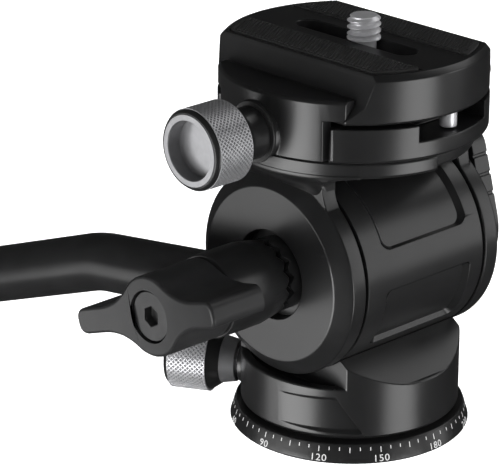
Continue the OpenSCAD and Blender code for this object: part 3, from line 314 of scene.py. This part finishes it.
bearing_bronze = finish("bearing_bronze", (0.42, 0.27, 0.1), (0.55, 0.36, 0.15), (0.28, 0.4),
                        1.0, 0.2, 0.15, 2.0)
moulded_rubber = finish("moulded_rubber", grey(0.012, 1), grey(0.016, 1), (0.62, 0.78),
                        0.0, 0.25, 0.6, 3.0)
black_plastic = finish("black_sliding_plastic", grey(0.012, 1), grey(0.016, 1), (0.4, 0.5),
                       0.0, 0.2, 0.2)
white_plastic = finish("white_sliding_plastic", (0.72, 0.71, 0.67), (0.8, 0.79, 0.75), (0.4, 0.5),
                       0.0, 0.3, 0.2)
dial_paint = finish("white_dial_paint", grey(0.4, 1), grey(0.48, 1), (0.5, 0.6), 0.0, 0.1, 0.2, 1.0)
finish_of_slot = {
    "black_metal": blasted_black, "satin_black_metal": satin_black, "knurled_metal": knurl_metal,
    "inner_aluminium": inner_aluminium, "steel": turned_steel, "black_steel": black_oxide,
    "black_plastic": black_plastic, "bronze": bearing_bronze, "rubber": moulded_rubber,
    "slide_plastic": white_plastic,
}
for name, solid in solids.items():
    solid.data.materials.clear()
    solid.data.materials.append(finish_of_slot[slot_of[name]])
solids["pan_lock_insert"].data.materials[0] = black_oxide
print(len(bpy.data.materials), "finishes made, one on every solid")

# %% [markdown]
# ## Handing a piece over
# A finished piece gets its material and rides on the body of the solid that it belongs to. Where it
# stands for that solid, the solid is hidden. The solid then stays only for collisions.

# %% Hand-over helper
def hand_over(piece, node, material=None, stands_for=True):
    piece.data.materials.clear()
    piece.data.materials.append(material or finish_of_slot[slot_of[node]])
    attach(piece, body_of[node])
    if stands_for:
        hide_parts(node)
    return piece


print("hand-over ready for", len(body_of), "solids")

# %% [markdown]
# ## Milled and turned bodies
# The housing, drum, clamp, jaw and plate already have their shape as solids. On the real head their
# edges are broken by the mill, so each is copied, merged and given narrow bevels of its own width.

# %% Bodies with broken edges
edge_widths = {
    "dial_base": 0.2, "tilt_drum": 0.12, "tilt_cradle": 0.25, "movable_jaw": 0.2, "release_plate": 0.2,
    "tilt_lock_knob": 0.15, "jaw_washer": 0.12, "handle_hub": 0.3, "handle_end_cap": 0.4,
    "wing_washer": 0.1, "wing_bolt": 0.2, "plate_stop_pins": 0.2, "tilt_knob_retainer": 0.2,
    "tilt_brake_washer": 0.1,
}
for node, width in edge_widths.items():
    piece = hand_over(copy_of_solid(node, width), node)
    print(piece.name, len(piece.data.polygons), "faces")

# %% [markdown]
# ## Edges with a width of their own
# The clamp's corners beside the jaw are rounded, so that they don't cut a finger. The panel of the
# housing fades out at the back, so the edges there are left as they are.

# %% Housing and clamp
def angle_over(edge, degrees):
    return edge.calc_face_angle() > radians(degrees)


def where_panel_fades(m):
    return m.x < -18 and -2.5 < m.y < 4.5 and 5 < m.z < 13.5


def beside_jaw(edge, m):
    """The upright edges of the clamp's rim at the gap for the jaw."""
    tall = abs(edge.verts[0].co.z - edge.verts[1].co.z) > 3 * MM
    on_rim = sqrt(m.x ** 2 + m.y ** 2) > clamp_r - 0.3
    at_gap = m.x < 0 and abs(abs(m.y) - gap_y) < 0.1
    return angle_over(edge, 30) and at_gap and tall and on_rim


housing = copy_of_solid("pan_housing", 0.2, spare=where_panel_fades)
hand_over(housing, "pan_housing")
axis_z = (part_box("handle_hub")[0].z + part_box("handle_hub")[1].z) / 2 / MM
clamp_r, gap_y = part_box("clamp_base")[1].x / MM, 14.2
clamp = copy_of_solid("clamp_base")
bevel_where(clamp, 1.5, 5, beside_jaw)
break_edges(clamp, 0.25)
hand_over(clamp, "clamp_base")
print("housing of", len(housing.data.polygons), "faces, clamp of", len(clamp.data.polygons))

# %% [markdown]
# ## The walls of the drum's panels
# The two panels of the drum have sloping walls, as a tapered cutter leaves them. A torus with three
# sides is such a frame already: its long way round is laid along the panel's outline, and its three
# corners become the rim, the foot of the slope and a hidden edge behind it.

# %% Panel walls
drum_r, panel_w, panel_x, panel_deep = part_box("tilt_drum")[1].y / MM, 22.8, 0.7, 0.9
side_steps, corner_steps = 20, 8


def rounded_outline(width, height, corner):
    """Points round a rectangle with round corners, the same number for every size."""
    points = []
    for quarter, (sx, sy) in enumerate(((1, 1), (-1, 1), (-1, -1), (1, -1))):
        centre = Vector((sx * (width / 2 - corner), sy * (height / 2 - corner)))
        turns = [radians(90 * (quarter + step / corner_steps)) for step in range(corner_steps + 1)]
        points += [centre + corner * Vector((cos(turn), sin(turn))) for turn in turns]
        to = points[-1] + Vector((-sy * (width - 2 * corner) * (quarter % 2 == 0),
                                  sx * (height - 2 * corner) * (quarter % 2 == 1)))
        here = points[-1].copy()
        points += [here.lerp(to, step / side_steps) for step in range(1, side_steps)]
    return points


def panel_wall(name, turn, height, corner, slope=(1.1, 0.75)):
    rim = rounded_outline(panel_w, height, corner)
    foot = rounded_outline(panel_w - 2 * slope[0], height - 2 * slope[1], corner - 0.6)
    put_down()
    bpy.ops.mesh.primitive_torus_add(major_segments=len(rim), minor_segments=3)
    piece = bpy.context.object
    piece.name = name
    for index, vert in enumerate(piece.data.vertices):
        here, which = divmod(index, 3)
        u, v = (rim, rim, foot)[which][here]
        r = drum_r - (0.015, panel_deep + 0.1, panel_deep + 0.005)[which]
        out = sqrt(r ** 2 - v ** 2)
        vert.co = Vector((panel_x + u, v * cos(turn) - out * sin(turn),
                          axis_z + v * sin(turn) + out * cos(turn))) * MM
    open_mesh(piece)
    close_outward()
    shade(piece, 40)
    return hand_over(piece, "tilt_drum", stands_for=False)


for name, turn, height, corner in (("upper_panel_wall", 45, 16.8, 2.5),
                                   ("lower_panel_wall", 111, 12.8, 1.5)):
    print(name, "has", len(panel_wall(name, radians(turn), height, corner).data.polygons), "faces")

# %% [markdown]
# ## The flare of the arms
# The platform and its two arms are one casting, and the platform's rim runs down into each arm in a
# soft curve. A grid is laid round the arm: across it goes from the back edge to the front edge, and
# upwards it swells from the arm's waist to the rim, which it follows for a while. It widens only
# close below the rim, in a quarter circle. Its border is then drawn to the arm's inner face.

# %% Arm flares
platform_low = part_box("clamp_base")[0].z / MM - 3.3


def arm_flare(name, side, rim_r):
    inner, cheek, waist = 16.4, 19.65, 11.65
    low, middle, high = platform_low - 5, platform_low + 0.15, platform_low + 2.8
    curve_share, corner_h, squareness = 0.8, 2.2, 8
    end = sqrt(rim_r ** 2 - inner ** 2)
    put_down()
    bpy.ops.mesh.primitive_grid_add(x_subdivisions=64, y_subdivisions=25, size=1)
    piece = bpy.context.object
    piece.name = name
    for vert in piece.data.vertices:
        rise = (vert.co.y + 0.5) / curve_share
        height = low + (middle - low) * rise
        if rise > 1:
            height = middle + (high - middle) * (rise - 1) / (1 / curve_share - 1)
        open_by = min(rise, 1) ** 2 * (3 - 2 * min(rise, 1))
        spread = sin(vert.co.x * pi)
        near_rim = min(max(1 + (height - platform_low) / corner_h, 0), 1)
        y = (waist + (1 - sqrt(1 - near_rim ** 2)) * (end - waist)) * spread
        outer = cheek + open_by * (sqrt(rim_r ** 2 - y ** 2) - cheek)
        corner = (1 - abs(spread) ** squareness) ** (1 / squareness)
        vert.co = Vector((side * (inner + (outer - inner) * corner), y, height)) * MM
    open_mesh(piece)
    pick(piece, "edges", lambda e: e.is_boundary)
    bpy.ops.mesh.extrude_edges_move(TRANSFORM_OT_translate={"value": (0, 0, 0)})
    bpy.ops.transform.resize(value=(0, 1, 1), center_override=(side * inner * MM, 0, 0))
    bpy.ops.mesh.select_all(action="SELECT")
    bpy.ops.mesh.remove_doubles(threshold=WELD)
    pick(piece, "edges", lambda e: e.is_boundary)
    bpy.ops.mesh.edge_face_add()
    close_outward()
    even_shading(piece)
    return hand_over(piece, "tilt_cradle", stands_for=False)


for name, side, rim_r in (("arm_flare_left", -1, 24.55), ("arm_flare_right", 1, 23.05)):
    print(name, "has", len(arm_flare(name, side, rim_r).data.polygons), "faces")

# %% [markdown]
# ## The wing knob
# The wing knob is cast and tumbled, so its edges are softly rounded: they get a wide bevel with more
# segments. The turned back and the bolt's well stay crisp, as they are machined after casting.

# %% Wing knob
wing_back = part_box("wing_knob")[1].x / MM


def machined(m):
    return m.x > wing_back - 4 or sqrt(m.y ** 2 + (m.z - axis_z) ** 2) < 6


wing = copy_of_solid("wing_knob", 0.65, 40, 4, machined)
hand_over(wing, "wing_knob", cast_black)
print(wing.name, len(wing.data.polygons), "faces")

# %% [markdown]
# ## Diamond knurl
# A knurling wheel presses rows of small pits into the metal and leaves crossing ridges. The sleeve
# starts as an open cylinder whose long edges are subdivided. Poking each face and dissolving the
# first grid leaves a net of diamonds. An inset keeps a flat ridge, and a poke inwards sinks the pit.

# %% Knurl helper
def knurl_sleeve(name, centre, along, start, length, radius, around, rows, bore):
    ridge, pit = 0.1, 0.36
    along = Vector(along).normalized()
    middle = (Vector(centre) + along * (start + length / 2)) * MM
    put_down()
    bpy.ops.mesh.primitive_cylinder_add(
        vertices=around, radius=radius * MM, depth=length * MM, end_fill_type="NOTHING",
        location=middle, rotation=along.to_track_quat("Z", "Y").to_euler())
    piece = bpy.context.object
    piece.name = name
    bpy.ops.object.transform_apply(location=True, rotation=True, scale=True)
    open_mesh(piece)
    pick(piece, "edges", lambda e: abs((e.verts[0].co - e.verts[1].co).normalized().dot(along)) > 0.9)
    bpy.ops.mesh.subdivide(number_cuts=rows - 1)
    count = len(bmesh.from_edit_mesh(piece.data).verts)
    bpy.ops.mesh.select_all(action="SELECT")
    bpy.ops.mesh.poke()
    pick(piece, "edges", lambda e: not e.is_boundary and max(v.index for v in e.verts) < count)
    bpy.ops.mesh.dissolve_edges(use_verts=False)
    bpy.ops.mesh.select_all(action="SELECT")
    bpy.ops.mesh.inset(thickness=ridge * MM, use_individual=True)
    bpy.ops.mesh.poke(offset=-pit * MM)
    for side in (-1, 1):
        rim = middle + along * (side * length / 2 * MM)
        pick(piece, "edges", lambda e: e.is_boundary and
             all(abs((v.co - rim).dot(along)) < 0.05 * MM and (v.co - rim).length > bore * MM
                 for v in e.verts))
        bpy.ops.mesh.extrude_edges_move(TRANSFORM_OT_translate={"value": (0, 0, 0)})
        bpy.ops.transform.resize(value=(bore / radius,) * 3, center_override=rim)
    pick(piece, "edges", lambda e: e.is_boundary)
    bpy.ops.mesh.bridge_edge_loops()
    close_outward()
    return piece


print("knurl helper ready")

# %% [markdown]
# ## The clamp knob
# A turned knob: a black flared neck, a bright knurl, a black chamfer and a bright ring round a
# shallow dish. The colours meet at turned edges, so each colour is a turned piece of its own.

# %% Clamp knob
clamp_low, clamp_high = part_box("clamp_knob")
clamp_axis = (0, 0, (clamp_low.z + clamp_high.z) / 2 / MM)
knob_r = (clamp_high.z - clamp_low.z) / 2 / MM
knob_end = -clamp_low.x / MM
neck_start = -clamp_high.x / MM
left = (-1, 0, 0)
knurl_start, knurl_end, floor_at, ring_r = neck_start + 6.8, knob_end - 1.0, knob_end - 2.9, 6.85
clamp_body = lathe("clamp_knob_body", clamp_axis, left, [
    (neck_start, 3.05), (neck_start, 5.0), (neck_start + 0.5, 4.95), (neck_start + 3.6, 4.95),
    (neck_start + 4.8, 5.3), (neck_start + 5.8, 6.0), (neck_start + 6.5, 6.9), (knurl_start, 7.0),
    (knurl_end, 7.0), (knurl_end, knob_r - 0.1), (knob_end - 0.75, knob_r - 0.12),
    (knob_end - 0.1, ring_r + 0.2), (knob_end - 0.1, ring_r), (knob_end - 3.6, ring_r),
    (knob_end - 3.6, 3.05), (neck_start, 3.05)])
break_edges(clamp_body, 0.12)
hand_over(clamp_body, "clamp_knob", satin_black)
clamp_ring = lathe("clamp_knob_ring", clamp_axis, left, [
    (floor_at, 0), (floor_at, 5.35), (floor_at + 0.15, 5.5), (knob_end - 0.15, 5.5), (knob_end, 5.65),
    (knob_end, ring_r - 0.2), (knob_end - 0.2, ring_r - 0.02), (floor_at, ring_r - 0.02),
    (floor_at - 0.6, ring_r - 0.02), (floor_at - 0.6, 0)])
even_shading(clamp_ring, 30)
hand_over(clamp_ring, "clamp_knob", ring_metal, stands_for=False)
clamp_knurl = knurl_sleeve(
    "clamp_knob_knurl", clamp_axis, left, start=knurl_start, length=knurl_end - knurl_start + 0.05,
    radius=knob_r, around=52, rows=9, bore=6.6)
hand_over(clamp_knurl, "clamp_knob", knurl_metal, stands_for=False)
print("clamp knob with", len(clamp_knurl.data.polygons), "knurl faces")

# %% [markdown]
# ## The pan lock knob
# The smaller knob has a bright neck and knurl, and a black cone between them. It lies on a slanting
# axis, so its direction is taken from the joint that turns it.

# %% Pan lock knob
pan_joint = next(j for j in frame["joints"] if j["name"] == "pan_lock_turn")
outward = -Vector(pan_joint["axis"])
pan_axis = (0, 0, pan_joint["pos_m"][2] / MM)
pan_neck = lathe("pan_knob_neck", pan_axis, outward, [
    (22.5, 2.55), (22.5, 4.1), (22.6, 4.2), (25.4, 4.75), (25.5, 4.7), (25.5, 2.55), (22.5, 2.55)])
even_shading(pan_neck, 30)
hand_over(pan_neck, "pan_lock_knob", ring_metal)
pan_cone = lathe("pan_knob_cone", pan_axis, outward, [
    (25.45, 2.55), (25.45, 4.7), (25.7, 5.0), (27.4, 6.25), (27.8, 6.4), (27.9, 6.2), (35.4, 6.2),
    (35.5, 6.6), (35.9, 6.3), (36.5, 5.7), (36.5, 4.4), (35.7, 4.2), (35.7, 0), (33.8, 0),
    (33.8, 2.55), (25.45, 2.55)])
break_edges(pan_cone, 0.1)
hand_over(pan_cone, "pan_lock_knob", satin_black, stands_for=False)
pan_knurl = knurl_sleeve(
    "pan_knob_knurl", pan_axis, outward, start=27.75, length=7.75, radius=6.75, around=44, rows=8,
    bore=5.8)
hand_over(pan_knurl, "pan_lock_knob", satin_silver, stands_for=False)
print("pan lock knob with", len(pan_knurl.data.polygons), "knurl faces")

# %% [markdown]
# ## The camera screw
# A quarter inch screw with twenty threads to the inch. The Screw modifier turns one V of the thread
# into a helix, and a chamfered blank, intersected with it, gives the clean foot and the bevelled tip.

# %% Camera screw
screw_low, screw_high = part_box("camera_screw")
screw_y = (screw_low.y + screw_high.y) / 2 / MM
tip = screw_high.z / MM
thread_length, run_in = 4.6, 1.4
foot = tip - thread_length
pitch, crest_r, root_r = 1.27, 3.175, 2.55
rise = crest_r - root_r
thread = one_vertex("camera_screw_thread", (root_r * MM, 0, 0))
for dr, dz in ((0, 0.16), (rise, 0.4), (0, 0.15), (-rise, 0.4), (0, 0.16)):
    bpy.ops.mesh.extrude_region_move(TRANSFORM_OT_translate={"value": (dr * MM, 0, dz * MM)})
close_mesh()
use_modifier(thread, "SCREW", axis="Z", angle=2 * pi, screw_offset=pitch * MM, iterations=6,
             steps=48, render_steps=48, use_merge_vertices=True, merge_threshold=WELD)
open_mesh(thread)
bpy.ops.mesh.remove_doubles(threshold=WELD)
bpy.ops.transform.translate(value=(0, screw_y * MM, (foot - run_in) * MM))
for height, normal in ((foot, 1), (tip, -1)):
    bpy.ops.mesh.select_all(action="SELECT")
    bpy.ops.mesh.bisect(plane_co=(0, screw_y * MM, height * MM), plane_no=(0, 0, normal),
                        use_fill=True, clear_inner=True)
close_outward()
blank = lathe("screw_blank", (0, screw_y, 0), (0, 0, 1), [
    (foot - 1, 0), (foot - 1, 2.6), (foot, 2.7), (foot + 0.45, 3.3), (tip - 0.75, 3.3),
    (tip - 0.05, 2.45), (tip - 0.05, 0)], 64)
use_modifier(thread, "BOOLEAN", operation="INTERSECT", object=blank, solver="EXACT")
bpy.data.objects.remove(blank)
shade(thread, 25)
hand_over(thread, "camera_screw", stands_for=False)
screw_foot = copy_of_solid("camera_screw", 0.15)
open_mesh(screw_foot)
bpy.ops.mesh.bisect(plane_co=(0, 0, (foot + 0.3) * MM), plane_no=(0, 0, -1), use_fill=True,
                    clear_inner=True)
close_mesh()
hand_over(screw_foot, "camera_screw")
print("thread of", len(thread.data.polygons), "faces")

# %% [markdown]
# ## The grip pads
# Each pad is a moulded rubber strip with a field of small bumps that keep the camera from turning.
# One bump is modelled, an Array makes a row of it, and each row is as long as the pad is there.

# %% Grip pads
pad_pitch, row_share, bump_r, bump_h = 0.84, 0.866, 0.4, 0.2
row_pitch = pad_pitch * row_share


def join(pieces, name):
    """Joins the pieces to the first one and names it."""
    put_down()
    for piece in pieces:
        piece.select_set(True)
    bpy.context.view_layer.objects.active = pieces[0]
    bpy.ops.object.join()
    pieces[0].name = name
    return pieces[0]


for side, node in ((-1, "grip_pad_left"), (1, "grip_pad_right")):
    low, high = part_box(node)
    pad = copy_of_solid(node)
    bevel_where(pad, 1.2, 5, lambda e, m: angle_over(e, 30) and
                (e.verts[0].co - e.verts[1].co).normalized().z ** 2 > 0.9)
    break_edges(pad, 0.25, 40, 3)
    open_mesh(pad)
    bpy.ops.transform.translate(value=(0, 0, -bump_h * MM))
    close_mesh()
    hand_over(pad, node)
    inner, outer = sorted((abs(low.x) / MM, abs(high.x) / MM))
    end_r = sqrt(inner ** 2 + (high.y / MM) ** 2)
    rows = []
    columns = int((outer - inner - 1.2) / row_pitch) + 1
    first = (inner + outer) / 2 - (columns - 1) * row_pitch / 2
    for column in range(columns):
        x = first + column * row_pitch
        reach = sqrt(end_r ** 2 - x ** 2) - 0.9
        count = int((reach - (column % 2) * pad_pitch / 2) / pad_pitch) * 2 + 1 + column % 2
        start = -(count - 1) * pad_pitch / 2
        put_down()
        bpy.ops.mesh.primitive_cone_add(
            vertices=8, radius1=bump_r * MM, radius2=bump_r * 0.7 * MM, depth=2 * bump_h * MM,
            location=(side * x * MM, start * MM, high.z - bump_h * MM))
        row = bpy.context.object
        bpy.ops.object.transform_apply(location=True, rotation=True, scale=True)
        use_modifier(row, "ARRAY", count=count, use_relative_offset=False, use_constant_offset=True,
                     constant_offset_displace=(0, pad_pitch * MM, 0))
        rows.append(row)
    bumps = join(rows, node + "_bumps")
    shade(bumps, 50)
    hand_over(bumps, node, stands_for=False)
    print(node, "has", len(bumps.data.polygons) // 10, "bumps")

# %% [markdown]
# ## The dial's scale
# The scale is printed in white on the dial's slanting face: a short mark every five degrees, a long
# one every fifteen and a number every thirty. One mark is a thin block, copied round the dial.

# %% Marks
dial_foot_r, foot_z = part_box("dial_base")[1].x / MM, 0.5
lean = 0.975 / 3.15
mark_top, long_low, short_low, mark_deep, mark_wide = 3.3, 2.3, 2.7, 0.08, 0.16


def on_dial(turn, height, proud):
    """A point on the slanting face, at a turn about the pan axis and a height, in metres."""
    r = dial_foot_r - lean * (height - foot_z) + proud
    return Vector((r * cos(turn), r * sin(turn), height)) * MM


marks = []
for step in range(72):
    bottom = long_low if step % 3 == 0 else short_low
    put_down()
    bpy.ops.mesh.primitive_cube_add(size=MM)
    mark = bpy.context.object
    open_mesh(mark)
    bpy.ops.transform.resize(value=(mark_deep, mark_wide, mark_top - bottom))
    pick(mark, "verts", lambda v: v.co.z > 0)
    bpy.ops.transform.translate(value=(-lean * (mark_top - bottom) * MM, 0, 0))
    bpy.ops.mesh.select_all(action="SELECT")
    height = (mark_top + bottom) / 2
    face_r = dial_foot_r - lean * (bottom - foot_z) - 0.01
    bpy.ops.transform.translate(value=(face_r * MM, 0, height * MM))
    close_mesh()
    mark.data.transform(Matrix.Rotation(radians(step * 5 + 90), 4, "Z"))
    marks.append(mark)
hand_over(join(marks, "dial_marks"), "dial_base", dial_paint, stands_for=False)
print("dial with", len(marks), "marks")

# %% Numbers
number_size, number_z, number_wider, number_lower = 1.85, 1.15, 1.12, 0.94
numbers = []
for value in range(0, 360, 30):
    put_down()
    bpy.ops.object.text_add()
    words = bpy.context.object
    words.data.body = str(value)
    words.data.size = number_size * MM
    words.data.extrude = 0.03 * MM
    words.data.space_character = 1.1
    words.data.align_x = "CENTER"
    words.data.align_y = "CENTER"
    bpy.ops.object.convert(target="MESH")
    words = bpy.context.object
    for vert in words.data.vertices:
        x, y, z = vert.co / MM
        turn = radians(value + 90) + x * number_wider / dial_foot_r
        vert.co = on_dial(turn, number_z + y * number_lower, z + 0.01)
    numbers.append(words)
hand_over(join(numbers, "dial_numbers"), "dial_base", dial_paint, stands_for=False)
print("dial with", len(numbers), "numbers")

# %% [markdown]
# ## The handle
# The handle is a bent tube. A disc is extruded along the first stretch, spun round the bend and
# extruded again, just as a tube is pushed through a bending tool.

# %% Handle tube
rod_x, rod_r = -30.5, 5.7
slope_1, slope_2 = radians(8.6), radians(20.5)
reach_1, reach_2, bend_r = 35.0, 122.0, 32.0


def back_and_down(slope, distance):
    return Vector((0, cos(slope), -sin(slope))) * distance


pivot = Vector((rod_x, 0, axis_z))
rod_begin = pivot + back_and_down(slope_1, 4.6)
bend_begin = pivot + back_and_down(slope_1, reach_1)
bend_middle = bend_begin + Vector((0, -sin(slope_1), -cos(slope_1))) * bend_r
bend_end = bend_middle + Vector((0, sin(slope_2), cos(slope_2))) * bend_r
put_down()
bpy.ops.mesh.primitive_circle_add(vertices=72, radius=rod_r * MM, fill_type="NGON",
                                  location=rod_begin * MM, rotation=(-pi / 2 - slope_1, 0, 0))
tube = bpy.context.object
tube.name = "handle_tube"
bpy.ops.object.transform_apply(location=True, rotation=True, scale=True)
open_mesh(tube)
bpy.ops.mesh.select_mode(type="FACE")
bpy.ops.mesh.select_all(action="SELECT")
bpy.ops.mesh.extrude_region_move(TRANSFORM_OT_translate={"value": (bend_begin - rod_begin) * MM})
bpy.ops.mesh.spin(steps=12, angle=slope_2 - slope_1, center=bend_middle * MM, axis=(1, 0, 0))
last_stretch = back_and_down(slope_2, reach_2)
bpy.ops.mesh.extrude_region_move(TRANSFORM_OT_translate={"value": last_stretch * MM})
close_outward()
shade(tube, 40)
hand_over(tube, "handle_rod")
print("tube ends at", [round(c, 1) for c in (bend_end + last_stretch)])

# %% [markdown]
# ## The rubber grip
# The grip lies outside the picture. Grips of this kind are moulded rubber with shallow rings round a
# swelling middle, so the profile is turned with rings between its two plain ends.

# %% Grip
grip_length, grip_r, grip_start, grip_bore = 80.0, 9.4, 42.0, 5.75
grip_end = grip_start + grip_length
profile = [(grip_start, grip_bore), (grip_start, 6.9), (grip_start + 0.6, 7.6), (grip_start + 6, 8.1)]
at = grip_start + 8
while at < grip_end - 14:
    share = (at - grip_start) / grip_length
    swell = 8.5 + 0.9 * max(0, (share - 0.55) / 0.3) if share < 0.85 else grip_r
    profile += [(at, swell), (at + 1.5, swell), (at + 1.9, swell - 0.5), (at + 2.6, swell - 0.5)]
    at += 3
profile += [(at + 1, 9.2), (at + 3, grip_r), (grip_end - 2, grip_r),
            (grip_end - 0.6, grip_r - 0.5), (grip_end, grip_r - 1.2),
            (grip_end, grip_bore), (grip_start, grip_bore)]
grip = lathe("handle_grip_rubber", bend_end, back_and_down(slope_2, 1), profile, 64)
break_edges(grip, 0.2)
hand_over(grip, "handle_grip")
print("grip of", len(grip.data.polygons), "faces")

# %% [markdown]
# ## The studio
# The picture has a white ground and soft panels at both sides, which draw upright bands on the round
# black surfaces. The side panels hang low, because an upright face that is seen from above mirrors
# what lies below it. The floor and its wall are one white sweep, turned like a bowl, far enough down
# for the handle to swing. It is kept out of the reflections, as white paper is kept from black metal.

# %% Floor
floor = lathe("floor", (0, 0, 0), (0, 0, 1), [
    (-420, 0), (-420, 2200), (-400, 2380), (-340, 2520), (-240, 2620), (-60, 2690), (200, 2700),
    (2600, 2700)], 64)
open_mesh(floor)
bpy.ops.mesh.normals_make_consistent(inside=True)
close_mesh()
shade(floor, 60)
paper = finish("white_paper", grey(0.8, 1), grey(0.82, 1), (0.7, 0.8), 0.0, 4.0, 0.02, 200.0)
paper_shader = paper.node_tree.nodes["Principled BSDF"]
paper_shader.inputs["Emission Color"].default_value = (1, 1, 1, 1)
paper_shader.inputs["Emission Strength"].default_value = 0.75
floor.data.materials.append(paper)
floor.visible_glossy = False
print("floor of", len(floor.data.polygons), "faces")

# %% Lights
def panel(name, turn, distance, height, size, power, aim=(0, 0, 35)):
    """A soft light at a turn about the pan axis, in degrees and mm."""
    data = bpy.data.lights.new(name, "AREA")
    data.shape = "RECTANGLE"
    data.size, data.size_y = size[0] * MM, size[1] * MM
    data.energy = power
    light = bpy.data.objects.new(name, data)
    place = Vector((distance * cos(radians(turn)), distance * sin(radians(turn)), height)) * MM
    light.location = place
    light.rotation_euler = (Vector(aim) * MM - place).to_track_quat("-Z", "Y").to_euler()
    light.visible_camera = False
    bpy.context.scene.collection.objects.link(light)


panel("left_panel", 174, 700, -200, (480, 460), 3.2)
panel("left_wide_panel", 162, 760, -200, (900, 460), 3.4)
panel("right_panel", 279, 700, -200, (400, 460), 2.6)
panel("fill_panel", 316, 800, 160, (300, 600), 1.1)
panel("top_panel", -11, 620, 660, (420, 420), 0.9)
world = bpy.data.worlds.new("dim_studio")
world.use_nodes = True
world.node_tree.nodes["Background"].inputs["Color"].default_value = (1, 1, 1, 1)
world.node_tree.nodes["Background"].inputs["Strength"].default_value = 0.03
bpy.context.scene.world = world
bpy.context.scene.view_settings.view_transform = "Standard"
print("studio ready")
